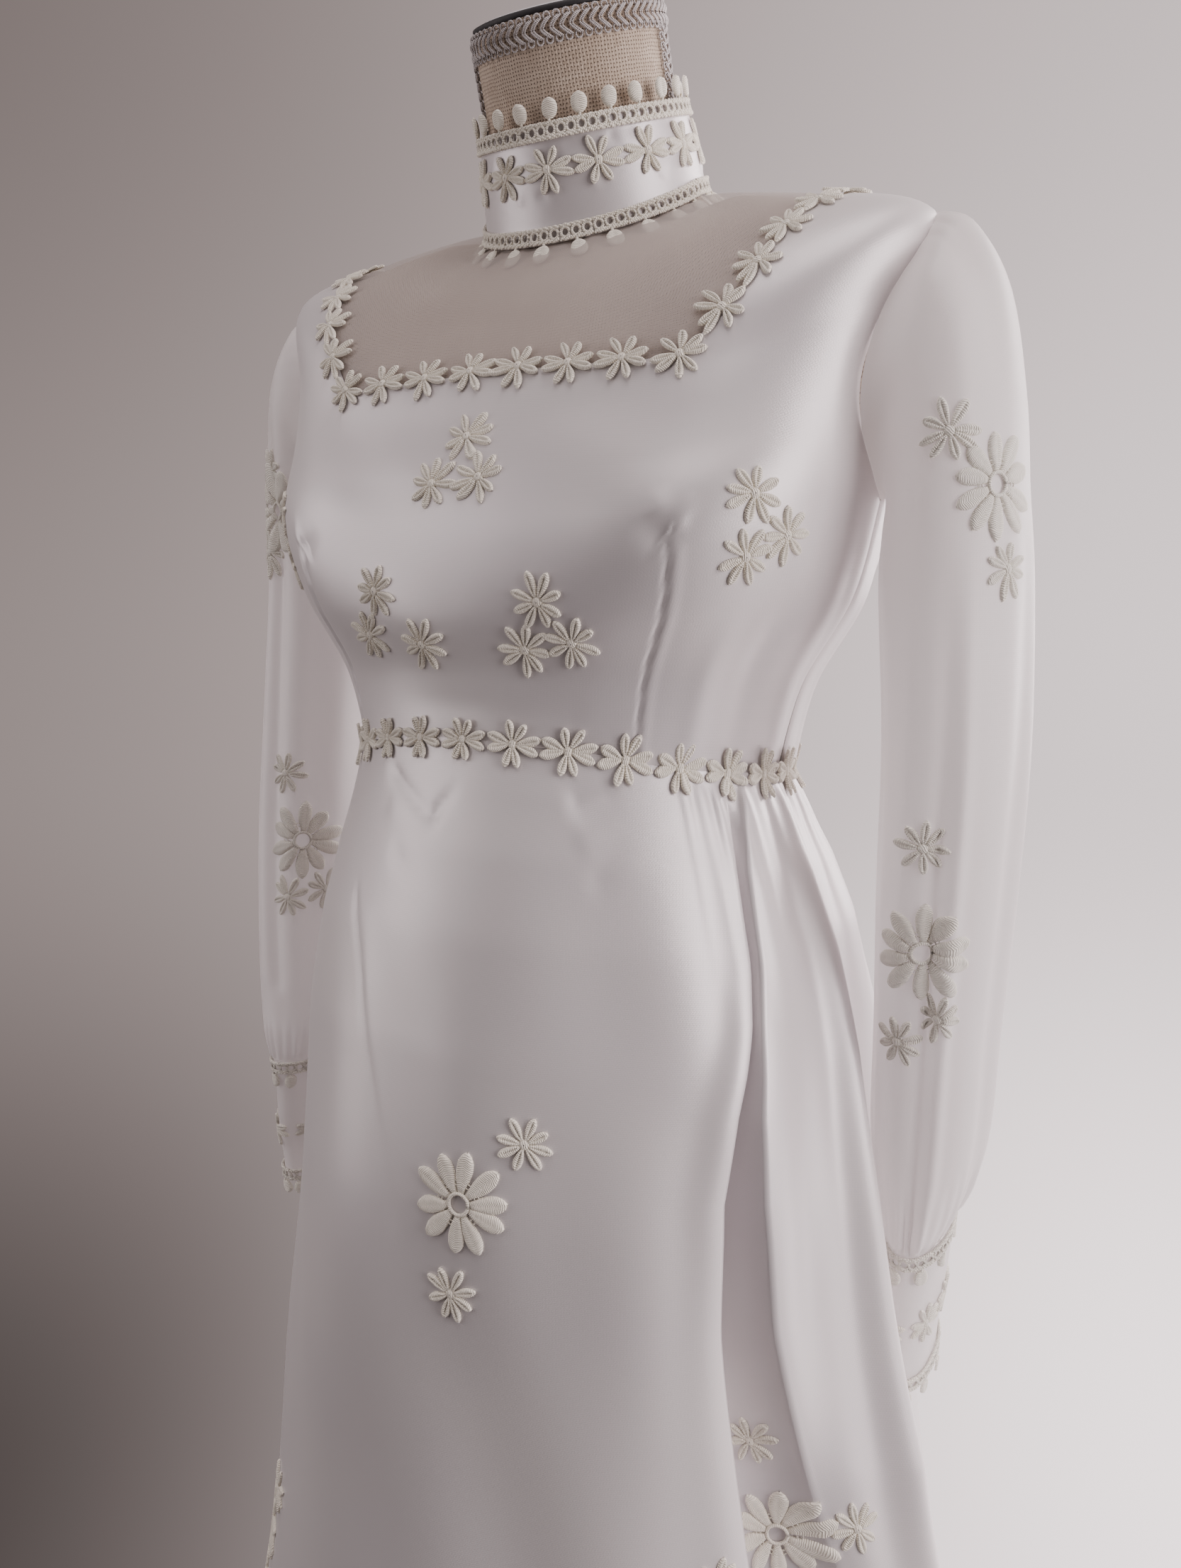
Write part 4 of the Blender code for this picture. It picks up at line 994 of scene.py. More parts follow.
def deep_fold_rise(angle, drop):
    near, far, hollow, swell, height, slope, late = (
        np.interp(drop, DEEP_FOLD[:, 0], DEEP_FOLD[:, k]) for k in range(1, 8)
    )
    climb = np.clip((angle - near) / (far - near), 0, 1) ** late
    sinking = hollow * (1 - climb) + (height - 0.8) * climb
    sinking = sinking * between(angle, near - 0.3 * slope, near + 0.8 * slope)
    swelling = swell * np.exp(-(((angle - near + 1.5 * slope) / (2.0 + 1.6 * slope)) ** 2))
    roll = height * np.exp(-((np.maximum(angle - far - 1.5, 0) / 7.5) ** 2))
    over = between(angle, far - 0.7, far + 0.7)
    return (sinking + swelling) * (1 - over) + roll * over


GATHERS = [
    (side * angle, wide, height, reach)
    for side in (-1, 1)
    for angle, wide, height, reach in zip(
        np.cumsum(np.concatenate([[56.0], chance.uniform(3.4, 6.2, 25)])),
        chance.uniform(0.9, 1.7, 26),
        chance.uniform(0.7, 1.9, 26),
        chance.uniform(0.03, 0.11, 26),
    )
    if angle < 178
]


def gather_rise(angle, drop):
    """Small pleats at the waist seam which fade out below."""
    rise = np.zeros(np.broadcast(angle, drop).shape)
    for centre, wide, height, reach in GATHERS:
        spread = wide * (1 + 14 * drop)
        away = ((angle - centre * (1 + 0.35 * drop) + 180) % 360 - 180) / spread
        rise += height * between(drop, 0.002, 0.012) * np.exp(-drop / reach) * np.exp(-away * away)
    return rise


def skirt_form(angle, drop):
    """The inside of the skirt's cloth; drop runs from 0 at the waist seam to 1 at the hem."""
    angle, drop = np.broadcast_arrays(np.asarray(angle, float), np.asarray(drop, float))
    side_z = SKIRT_TOP + (SKIRT_HEM - SKIRT_TOP) * drop
    row = np.interp(-side_z, -SKIRT_RINGS[:, 0], np.arange(len(SKIRT_RINGS)))
    sideways, half_width, front, back, back_square = np.moveaxis(smooth_rows(SKIRT_RINGS[:, 1:], row), -1, 0)
    sine, cosine = np.sin(np.radians(angle)), np.cos(np.radians(angle))
    square = np.where(cosine > 0, 2.05, back_square)
    across, along = signed_power(sine, 2 / square), signed_power(cosine, 2 / square)
    seam_z = body_form(angle, WAIST)[..., 2]
    height = side_z + (seam_z - SKIRT_TOP) * (1 - drop) ** 4
    rise = fold_rise(angle, drop) + deep_fold_rise(angle, drop) + gather_rise(angle, drop)
    rise = rise + creases(angle, drop, SKIRT_CREASES, 2.3, 1150.0)
    rise = rise + slack(angle / 360, drop, 1.3) * between(drop, 0.0, 0.12)
    depth = np.where(along > 0, front, back)
    x = sideways + half_width * across + sine * rise
    return np.stack([x, 2 * (1 - drop) - depth * along - cosine * rise, height], -1)


def skirt_surface(angle, drop):
    drop = np.asarray(drop, float)
    out = facing_out(skirt_form, angle, np.clip(drop, 0.003, 0.997), 0.35, 0.002)
    return skirt_form(angle, drop) + out * SATIN


# %% Skirt panels
skirt_drops = np.linspace(0, 1, 140) ** 1.55
near, far = (np.interp(skirt_drops, DEEP_FOLD[:, 0], DEEP_FOLD[:, k])[:, None] for k in (1, 2))
even = np.linspace(0, 1, 191)
front_angles = np.concatenate(
    [
        -90 + (near + 86) * even,
        near + np.linspace(-4, 0, 25)[1:],
        near + (far - near) * (0.5 - 0.5 * np.cos(math.pi * np.linspace(0, 1, 46)[1:])),
        far + np.linspace(0, 4, 13)[1:],
        far + 4 + (86 - far) * np.linspace(0, 1, 41)[1:],
    ],
    axis=1,
)
for word, node, angles in (
    ("front", "skirt_front", front_angles),
    ("back_left", "skirt_back_left", np.linspace(90, 180, 161)[None, :]),
    ("back_right", "skirt_back_right", np.linspace(-180, -90, 161)[None, :]),
):
    angles, drops = np.broadcast_arrays(angles, skirt_drops[:, None])
    grid = skirt_surface(angles, drops)
    seam = np.minimum(angles - angles[0, 0], angles[0, -1] - angles) * 2.6
    out = facing_out(skirt_form, angles, np.clip(drops, 0.003, 0.997), 0.35, 0.002)
    grid = grid + out * edge_roll(seam, 0.8, 1.6)[..., None]
    make_cloth(f"satin_skirt_{word}", grid, satin, [node])

# %% [markdown]
# ## The sleeves
#
# A sleeve is a tube that starts as the oval of the armhole, turns level over the first few rings and narrows at
# the wrist. Its fullness is eased in at the shoulder with small puckers, falls in long soft folds, and is
# gathered tightly into the cuff.

# %% Rings of the sleeves
# Columns: middle x on its own side, y and height, half thickness from the inner to the outer side, half width
# from front to back, how far the ring has turned to level, and how steeply it rises towards the back.
LEFT_SLEEVE_RINGS = (
    (180.7, 2, 1318, 58.3, 46, 16, 0), (189, 2, 1304.4, 49.7, 47, 27, 0), (193.7, 3, 1278, 36.5, 47, 47, 0),
    (194.5, 4, 1252, 31.8, 47, 68, 0), (195.5, 6, 1220, 32, 47, 86, 0), (198, 10, 1150, 31, 46, 90, 0),
    (196, 16, 1080, 30, 44, 90, 0), (193, 26, 1010, 28, 41, 90, 0.05), (190, 37, 952, 27, 39, 90, 0.15),
    (188, 45, 920, 22, 36, 90, 0.28), (186, 50, 898.4, 14.7, 32.7, 90, 0.33),
)
RIGHT_SLEEVE_RINGS = (
    (164.6, 2, 1318, 57.6, 44, 14, 0), (171.2, 2, 1304, 47.7, 45, 23, 0), (174, 5, 1276, 30.8, 45, 44, 0),
    (175.2, 8, 1251, 25.6, 45, 67, 0), (178, 12, 1220, 27, 46, 86, 0), (186, 14, 1150, 29, 46, 90, 0),
    (192, 12, 1080, 31, 44, 90, 0), (193, 6, 1015, 29, 40, 90, 0), (190, 1, 968, 27, 38, 90, 0),
    (187, -3, 950, 22, 36, 90, 0), (185, -6, 934.3, 14.7, 32.7, 90, 0),
)


def armhole_rim(side, turns):
    """Points and outward directions on an armhole's edge; turn is 0 at the shoulder and 90 in front."""
    ring = TIP + (UNDERARM - TIP) * (1 - np.cos(np.radians(turns))) / 2
    bite = np.where(np.sin(np.radians(turns)) >= 0, -1, 1) * armhole_reach(ring)
    angle = side * (90.0 + bite)
    out = facing_out(body_form, angle, ring, 0.5, 0.02)
    return body_form(angle, ring), out


def sleeve_control(side, table):
    """Coarse rings of a sleeve: the armhole's edge, then one ring for each table row."""
    turns = np.arange(0, 360, 15.0)
    rim, out = armhole_rim(side, turns)
    inward = np.array((side * 168.0, 0.0, 1322.0)) - rim
    inward = unit(inward - out * (inward * out).sum(-1, keepdims=True))
    rows = [rim + out * 0.3 - inward * 0.8]
    cosine, sine = np.cos(np.radians(turns))[:, None], np.sin(np.radians(turns))[:, None]
    for x, y, z, thick, wide, tilt, slope in table:
        lean = math.radians(tilt)
        up = np.array((side * math.sin(lean), 0, math.cos(lean)))
        rows.append(np.array((side * x, y, z)) + thick * cosine * up - wide * sine * np.array((0, 1, slope)))
    return np.array(rows)


# %% [markdown]
# ### Folds of the sleeves
#
# The cuff gathers are a comb of narrow ridges that is strongest at the seam and dies out about sixty millimetres
# above it. The photograph shows one crisp crease down the front of the left sleeve and another behind it, so
# those two have rows of their own.

# %% Sleeve surfaces
# Columns: start turn, row, end turn, row, half width, height, share lost by its end, share for its start.
LEFT_SLEEVE_CREASES = (
    (62, 4.6, 70, 10.6, 4.5, 3.0, 0.3, 0.4), (76, 4.6, 84, 10.6, 5.0, -3.0, 0.3, 0.4),
    (8, 3.8, 12, 10.6, 6.0, -3.2, 0.4, 0.5), (352, 3.6, 350, 10.6, 6.0, 2.8, 0.4, 0.5),
    (104, 4.0, 108, 10.6, 7.0, 2.4, 0.4, 0.4), (60, 0.3, 66, 4.4, 8.0, 2.2, 1.0, 0.3),
    (38, 0.2, 34, 3.6, 8.0, -2.4, 1.0, 0.3), (14, 0.1, 18, 3.4, 7.0, 1.6, 1.0, 0.3),
    (330, 0.6, 322, 5.0, 9.0, 1.6, 1.0, 0.5), (300, 3.0, 300, 10.6, 9.0, -2.6, 0.3, 0.5),
    (270, 3.4, 266, 10.6, 8.0, 2.6, 0.3, 0.5), (235, 3.0, 240, 10.6, 9.0, -2.4, 0.3, 0.5),
    (150, 3.0, 146, 10.6, 8.0, -2.2, 0.3, 0.5), (120, 3.0, 128, 10.6, 9.0, 1.8, 0.6, 0.5),
    (200, 3.4, 196, 10.6, 8.0, 2.2, 0.3, 0.5),
)
RIGHT_SLEEVE_CREASES = (
    (75, 1.6, 98, 8.6, 6.0, -3.6, 0.4, 0.3), (58, 1.6, 80, 8.6, 8.0, 2.6, 0.6, 0.4),
    (110, 2.6, 122, 10.6, 7.0, 2.4, 0.4, 0.4), (40, 4.4, 36, 10.6, 6.0, -2.2, 0.3, 0.4),
    (20, 3.4, 16, 10.6, 7.0, 2.2, 0.4, 0.4), (340, 2.6, 342, 10.6, 8.0, -2.4, 0.3, 0.4),
    (300, 3.0, 304, 10.6, 8.0, 2.4, 0.3, 0.5), (262, 3.0, 258, 10.6, 8.0, -2.2, 0.3, 0.5),
    (225, 3.4, 230, 10.6, 8.0, 2.4, 0.3, 0.5), (180, 3.0, 178, 10.6, 8.0, -2.0, 0.3, 0.5),
    (150, 3.0, 152, 10.6, 7.0, 1.8, 0.3, 0.5),
)


def cuff_gathers(turn, row, count, start, seed):
    """Narrow uneven ridges above the cuff and small puckers at the armhole."""
    wander = 3.0 * np.sin(np.radians(turn) * 3 + seed) + 2.0 * np.sin(np.radians(turn) * 7 + 2 * seed)
    comb = np.abs(np.cos(np.radians((turn + wander) * count / 2))) ** 1.6
    uneven = 0.65 + 0.35 * np.sin(np.radians(turn) * 5 + seed)
    low = 2.6 * between(row, start, 10.4) * (1 - 0.7 * between(row, 10.7, 11.0))
    ease = np.exp(-((((turn + 180) % 360 - 180) / 62) ** 2))
    pucker = np.abs(np.cos(np.radians((turn + wander) * 15))) ** 1.3
    high = 0.9 * ease * between(row, 0.02, 0.2) * (1 - between(row, 0.4, 1.5))
    return low * uneven * (comb - 0.35) + high * (pucker - 0.3)


def sleeve_surface(side, table, crease_table, seed):
    """A function of an angle that runs towards the dress's left in front, and of the row."""
    control = sleeve_control(side, table)
    wrapped = np.concatenate([control[:, -3:], control, control[:, :4]], axis=1)

    def bare(a, row):
        a, row = np.broadcast_arrays(np.asarray(a, float), np.asarray(row, float))
        turn = (-side * a) % 360
        low = np.floor(turn / 15).astype(int)
        part = (turn / 15 - low)[..., None]
        rows_at = smooth_rows(wrapped.reshape(len(wrapped), -1), row).reshape(row.shape + wrapped.shape[1:])
        pick = (
            np.take_along_axis(rows_at, (low + 3 + k)[..., None, None], axis=-2)[..., 0, :] for k in (-1, 0, 1, 2)
        )
        return curve_between(*pick, part)

    def surface(a, row):
        out = facing_out(bare, a, np.clip(row, 0.02, len(table) - 0.02), 1.0, 0.02)
        turn = (-side * np.asarray(a, float)) % 360
        rise = THIN + cuff_gathers(turn, np.asarray(row, float), 26, 9.0, seed)
        for shift in (-360, 0, 360):
            rise = rise + creases(turn + shift, row, crease_table, 0.62, 45.0)
        return bare(a, row) + out * rise[..., None]

    return surface


left_sleeve = sleeve_surface(1, LEFT_SLEEVE_RINGS, LEFT_SLEEVE_CREASES, 0.7)
right_sleeve = sleeve_surface(-1, RIGHT_SLEEVE_RINGS, RIGHT_SLEEVE_CREASES, 2.1)
sleeve_rows = np.concatenate([np.linspace(0, 2, 24)[:-1], np.linspace(2, 8, 34)[:-1], np.linspace(8, 11, 44)])
sleeve_angles, sleeve_places = np.meshgrid(np.linspace(-180, 180, 209), sleeve_rows)
for word, surface in (("left", left_sleeve), ("right", right_sleeve)):
    make_cloth(
        f"sleeve_cloth_{word}", surface(sleeve_angles, sleeve_places), sleeve_satin_painted_light, [f"sleeve_{word}"],
    )

# %% [markdown]
# ## The cuffs
#
# Each cuff is a plain band of satin, narrower at the wrist. The left one hangs with its back edge higher.

# %% Cuff surfaces
# Columns: middle x on its own side, y, height, half thickness, half width, rise towards the back.
CUFFS = {
    "left": (1, (186, 50, 898, 14.5, 32.5, 0.33), (181, 57, 810, 11.5, 30.5, 0.14)),
    "right": (-1, (185, -6, 934, 14.5, 32.5, 0), (191, 6, 850, 11.5, 30.5, 0)),
}


def cuff_surface(side, top, bottom):
    top, bottom = np.array(top, float), np.array(bottom, float)
    length = top[2] - bottom[2]

    def surface(a, down):
        a, down = np.broadcast_arrays(np.asarray(a, float), np.asarray(down, float))
        x, y, z, thick, wide, slope = np.moveaxis(top + (bottom - top) * (down / length)[..., None], -1, 0)
        turn = np.radians(-side * a)
        wave = 0.35 * np.sin(3 * turn + 0.08 * down) + 0.25 * np.sin(5 * turn - 0.11 * down)
        out = unit(np.stack([np.cos(turn) / thick, -np.sin(turn) / wide, np.zeros_like(turn)], -1))
        behind = -wide * np.sin(turn)
        points = np.stack([x + thick * np.cos(turn), y + behind, z + slope * behind], -1)
        points = points + out * (SATIN + wave)[..., None]
        return points * np.array((side, 1, 1))

    return surface, length


cuffs = {}
for word, (side, top, bottom) in CUFFS.items():
    surface, length = cuff_surface(side, top, bottom)
    cuffs[word] = (surface, length)
    angles, downs = np.meshgrid(np.linspace(-180, 180, 145), np.linspace(0, length, 41))
    make_cloth(
        f"satin_cuff_{word}", surface(angles, downs), sleeve_satin_painted_light, [f"cuff_{word}"],
    )

# %% [markdown]
# ## Lace shapes
#
# All the lace is built from a few flat shapes drawn in millimetres: x to the side, y up and z out of the cloth.
# A petal is a rounded leaf with a raised body and a groove down its middle. A round cord makes rings and
# stems. Each shape is made once, then laid on the cloth many times; laying bends it with the surface below.

# %% Petals and cords
PETAL_OUTLINE = ((0, 0.36), (0.1, 0.44), (0.3, 0.78), (0.55, 1.0), (0.75, 0.93), (0.9, 0.62), (0.97, 0.33), (1, 0.08))
DROP_OUTLINE = ((0, 0.3), (0.06, 0.5), (0.2, 0.85), (0.45, 1.0), (0.7, 0.95), (0.88, 0.68), (0.96, 0.4), (1, 0.1))
SIDE_STEPS = np.array((-1.0, -0.9, -0.68, -0.4, -0.16, 0.0, 0.16, 0.4, 0.68, 0.9, 1.0))


def turned(points, degrees):
    c, s = math.cos(math.radians(degrees)), math.sin(math.radians(degrees))
    return points @ np.array(((c, s, 0), (-s, c, 0), (0, 0, 1)))


def petal(start, end, half_width, thick, degrees, groove=0.45, outline=PETAL_OUTLINE, steps=13):
    """A leaf from start to end along its own direction: points, faces and flat coordinates."""
    part = np.linspace(0, 1, steps)[:, None]
    width = half_width * np.interp(part, [row[0] for row in outline], [row[1] for row in outline])
    side = SIDE_STEPS[None, :]
    body = thick * (1 - side**4) ** 0.5
    body = body * (0.35 + 0.65 * between(part, 0, 0.12)) * (0.35 + 0.65 * between(1 - part, 0, 0.1))
    sunk = groove * thick * np.exp(-((side / 0.2) ** 2)) * between(part, 0.08, 0.25) * between(1 - part, 0.1, 0.25)
    along = start + (end - start) * part + 0 * side
    points = np.stack([along, width * side, body - sunk], -1).reshape(-1, 3)
    flats = np.stack([along + 0.35 * np.abs(width * side), width * side], -1).reshape(-1, 2)
    return turned(points, degrees), grid_faces(steps, len(SIDE_STEPS)), flats


def cord(path, radius, sides=6, closed=False):
    """A round cord along a path; a closed one joins its end to its start."""
    path = np.asarray(path, float)
    count = len(path)
    if closed:
        tangent = unit(np.roll(path, -1, 0) - np.roll(path, 1, 0))
    else:
        tangent = unit(np.gradient(path, axis=0))
    across = unit(np.cross(np.array((0, 0, 1.0)) + 0 * tangent, tangent) + 1e-6)
    up = np.cross(tangent, across)
    turns = np.linspace(0, 2 * math.pi, sides, endpoint=False)
    ring = np.cos(turns)[None, :, None] * across[:, None] + np.sin(turns)[None, :, None] * up[:, None]
    points = (path[:, None] + radius * ring).reshape(-1, 3)
    start = np.arange(count if closed else count - 1)[:, None] * sides
    column = np.arange(sides)[None, :]
    following = (column + 1) % sides
    next_start = (start + sides) % (count * sides)
    corners = [start + column, start + following, next_start + following, next_start + column]
    faces = np.stack(corners, -1).reshape(-1, 4)
    length = run_lengths(path)
    flats = np.stack(np.broadcast_arrays(length[:, None], (turns * radius)[None, :]), -1).reshape(-1, 2)
    return points, faces, flats


def circle(x, y, z, radius, count=20, squash=1.0):
    turns = np.linspace(0, 2 * math.pi, count, endpoint=False)
    return np.stack([x + radius * np.cos(turns), y + squash * radius * np.sin(turns), np.full(count, z)], -1)


def together(shapes):
    """Several shapes as one."""
    points, faces, flats, start = [], [], [], 0
    for shape_points, shape_faces, shape_flats in shapes:
        points.append(shape_points)
        faces.append(np.asarray(shape_faces) + start)
        flats.append(shape_flats)
        start += len(shape_points)
    return np.concatenate(points), np.concatenate(faces), np.concatenate(flats)


# %% [markdown]
# ### Daisies
#
# There are three: a small one with eight even petals, a large one with ten and an open ring in the middle, held
# by little bars between the petals' roots, and the daisy of the chains, whose side petals lie nearly level so
# that they meet the next flower's.

# %% Daisy shapes
def knot(radius, height):
    """A low round button for a flower's middle."""
    rings = []
    for share, high in ((1.0, 0.0), (0.85, 0.7), (0.5, 0.95), (0.12, 1.0)):
        rings.append(circle(0, 0, high * height, radius * share, 12))
    grid = np.array(rings)
    grid = np.concatenate([grid, grid[:, :1]], axis=1)
    return grid.reshape(-1, 3), grid_faces(*grid.shape[:2])[:, ::-1], grid[..., :2].reshape(-1, 2)


def small_daisy(radius=13.0, uneven=0.0):
    petals = []
    for k in range(8):
        reach = radius * (1 + uneven * chance.uniform(-0.09, 0.06))
        swing = uneven * chance.uniform(-7, 7)
        petals.append(petal(1.7, reach, 2.25, 1.5, 45 * k + 11 + swing, 0.6))
    return together(petals + [knot(2.5, 1.5)])


def large_daisy(radius=24.0, uneven=0.0):
    parts = []
    for k in range(10):
        reach = radius * (1 + uneven * chance.uniform(-0.08, 0.06))
        parts.append(petal(5.2, reach, 4.3, 1.7, 36 * k + 8 + uneven * chance.uniform(-5, 5), 0.12))
        for out, middle, half, thick in ((8.6, 8.8, 1.3, 0.32), (10.6, 10.9, 1.6, 0.3)):
            bar = np.array(((out, -half, 0.5), (middle, 0, 0.8), (out, half, 0.5)))
            parts.append(cord(turned(bar, 36 * k + 26), thick, 5))
    parts.append(cord(circle(0, 0, 0.9, 4.9, 28), 0.85, 7, True))
    return together(parts)


CHAIN_PETALS = ((-14, 12.9), (14, 12.7), (64, 11.6), (114, 12.0), (166, 12.7), (194, 12.9), (247, 11.6), (293, 11.9))


def chain_daisy(uneven=1.0, tall=1.0):
    petals = []
    for degrees, reach in CHAIN_PETALS:
        upright = abs(math.sin(math.radians(degrees))) > 0.5
        swing = uneven * chance.uniform(-6, 6) * (1.0 if upright else 0.25)
        length = reach * (1 + uneven * chance.uniform(-0.06, 0.06)) * (tall if upright else 1.0)
        petals.append(petal(1.6, length, 2.05, 1.5, degrees + swing, 0.6))
    return together(petals + [knot(2.3, 1.55)])


# %% [markdown]
# ### Laying a shape on the cloth
#
# The shape's x and y are turned into steps of the surface's own two coordinates, found from how fast the surface
# moves at the flower's middle. Every point is then read from the surface and lifted along its normal, so a
# flower on the sleeve wraps round the arm as the sewn one does.

# %% Lay and join
def lay(surface, a, b, shape, lift, degrees=0.0, along=None, steps=(0.6, 0.02)):
    points, faces, flats = shape
    points = turned(points, degrees)
    one_a, one_b = np.array([float(a)]), np.array([float(b)])
    by_a = (surface(one_a + steps[0], one_b) - surface(one_a - steps[0], one_b))[0] / (2 * steps[0])
    by_b = (surface(one_a, one_b + steps[1]) - surface(one_a, one_b - steps[1]))[0] / (2 * steps[1])
    out = unit(np.cross(by_b, by_a))
    x_axis = by_a if along is None else np.asarray(along, float)
    x_axis = unit(x_axis - out * np.dot(x_axis, out))
    y_axis = np.cross(out, x_axis)
    inverse = np.linalg.pinv(np.stack([by_a, by_b], axis=1))
    per_x, per_y = inverse @ x_axis, inverse @ y_axis
    at_a = a + points[:, 0] * per_x[0] + points[:, 1] * per_y[0]
    at_b = b + points[:, 0] * per_x[1] + points[:, 1] * per_y[1]
    normals = facing_out(surface, at_a, at_b, *steps)
    return surface(at_a, at_b) + normals * (lift + points[:, 2:3]), faces, flats


def make_lace(name, laid, finish, replaced=()):
    points, faces, flats = together(laid)
    print(f"{name}: {len(laid)} shapes, {2 * len(faces)} triangles")
    return make_piece(name, points, faces, flats, finish, replaced)


# %% [markdown]
# ## Daisy chains
#
# A chain follows a seam. The seam's path is measured first, then the flowers are spread evenly along it, each
# turned so that its level petals follow the path.

# %% Chains on neckline, waist, collar and cuffs
CHAIN_PITCH = 25.4


def lay_chain(surface, path_a, path_b, first, count, pitch, lift, steps, tall=0.95):
    """Daisies along a path given as many (a, b) places; first is the length at which the first one lies."""
    path = surface(path_a, path_b)
    length = run_lengths(path)
    laid = []
    for k in range(count):
        here = (first + k * pitch) % length[-1]
        a, b = np.interp(here, length, path_a), np.interp(here, length, path_b)
        ahead = [np.interp((here + 5) % length[-1], length, path[:, axis]) for axis in range(3)]
        behind = [np.interp((here - 5) % length[-1], length, path[:, axis]) for axis in range(3)]
        along = np.array(ahead) - np.array(behind)
        laid.append(lay(surface, a, b, chain_daisy(tall=tall), lift, along=along, steps=steps))
    return laid


edge_surface = over_body(lambda angle, ring: SATIN + 0 * np.asarray(angle * ring))
dense = np.linspace(-179.9, 179.9, 1441)
neck_lengths = run_lengths(edge_surface(dense, neckline_ring(dense)))
corner_right, corner_left = np.interp((-28.3, 28.3), dense, neck_lengths)
bar_pitch = (corner_left - corner_right) / 7
bar = lay_chain(edge_surface, dense, neckline_ring(dense), corner_right, 8, bar_pitch, 0.7, (0.5, 0.02))
rest = neck_lengths[-1] - (corner_left - corner_right)
rest_count = round(rest / CHAIN_PITCH) - 1
sides = lay_chain(
    edge_surface, dense, neckline_ring(dense), corner_left + rest / (rest_count + 1), rest_count,
    rest / (rest_count + 1), 0.7, (0.5, 0.02),
)
make_lace("neckline_daisies", bar + sides, lace, ["neckline_daisy_trim"])
print("bar pitch", round(bar_pitch, 1), "sides", rest_count)


# %% The waist chain lies over the seam
def over_waist(angle, height):
    """Height in millimetres below the seam, measured on the bodice above it and on the skirt below it."""
    angle, height = np.broadcast_arrays(np.asarray(angle, float), np.asarray(height, float))
    seam = body_form(angle, WAIST)
    rings = WAIST - np.arange(0, 0.81, 0.1)
    climb = run_lengths(np.array([body_form(angle, ring) for ring in rings]))
    above_seam = np.clip((-np.minimum(height, 0) - climb[:-1]) / np.diff(climb, axis=0), 0, 1).sum(0) * 0.1
    per_drop = np.linalg.norm(skirt_form(angle, 0.012) - seam, axis=-1) / 0.012
    above = edge_surface(angle, WAIST - above_seam)
    drop = np.maximum(height, 0) / per_drop
    out = np.stack([np.sin(np.radians(angle)), -np.cos(np.radians(angle)), 0 * angle], -1)
    below = skirt_form(angle, drop) + out * (SATIN + 0.05 * np.maximum(height, 0))[..., None]
    return np.where((height > 0)[..., None], below, above)


def daisies_round(name, surface, b, first, count, lift, steps, finish, node, tall=0.95):
    """A closed chain at one b; without a count, the one whose pitch comes nearest to the usual."""
    path_b = np.full_like(dense, b)
    length = run_lengths(surface(dense, path_b))[-1]
    count = count or round(length / CHAIN_PITCH)
    laid = lay_chain(surface, dense, path_b, first, count, length / count, lift, steps, tall)
    make_lace(name, laid, finish, [node])


waist_start = np.interp(0.6, dense, run_lengths(over_waist(dense, 0 * dense)))
daisies_round(
    "waist_daisies", over_waist, 0.0, waist_start, None, 0.6, (0.5, 0.8), lace, "waist_daisy_trim", tall=0.8
)
daisies_round("collar_daisies", collar_surface, -25.0, 7.0, 14, 0.5, (0.5, 0.5), lace, "collar_daisy_trim")
for word, (surface, _) in cuffs.items():
    daisies_round(
        f"cuff_daisies_{word}", surface, 48.0, 5.0, None, 0.5, (1.0, 0.5), sleeve_lace_painted_light, f"cuff_daisy_trim_{word}"
    )

# %% [markdown]
# ## Loop braid with drops
#
# The edging has a row of small rings between two cords, and an oval drop on every third ring. The drops are
# only held by a short stem, so some have flopped over: each gets its own swing and twist.

# %% Edging shape
def edging_unit(pitch, swing, twist, reach=13.6):
    """One drop and its stretch of braid; the drop points towards minus y."""
    parts = []
    for k in (-1, 0, 1):
        parts.append(cord(circle(k * pitch / 3, 0, 0.9, 2.05, 18, 1.1), 0.72, 6, True))
    x = np.linspace(-pitch / 2, pitch / 2, 25)
    wave = 2 * math.pi * x * 3 / pitch
    for level in (-3.0, 3.0):
        sway = 0.45 * np.cos(wave) * (1 if level > 0 else -1)
        parts.append(cord(np.stack([x, level + sway, 0.9 + 0.35 * np.sin(wave)], -1), 0.72, 6))
        parts.append(cord(np.stack([x, level - sway, 0.9 - 0.35 * np.sin(wave)], -1), 0.6, 6))
    drop_points, drop_faces, drop_flats = petal(0.0, reach - 4.6, 3.9, 1.6, 0, 0.1, DROP_OUTLINE)
    c, s = math.cos(math.radians(twist)), math.sin(math.radians(twist))
    x, y, z = drop_points.T
    spun = np.stack([x, y * c, z + 0.4 + np.abs(y) * s], -1)
    hung = turned(spun, -90 + swing) + np.array((0, -4.6, 0))
    parts.append((hung, drop_faces, drop_flats))
    stem_end = 0.2 * math.sin(math.radians(swing))
    parts.append(cord(np.array(((0, -3.0, 1.0), (0, -4.0, 1.1), (stem_end, -5.4, 1.1))), 0.62, 6))
    return together(parts)


def level_all_round(angle):
    return 0.0 * angle


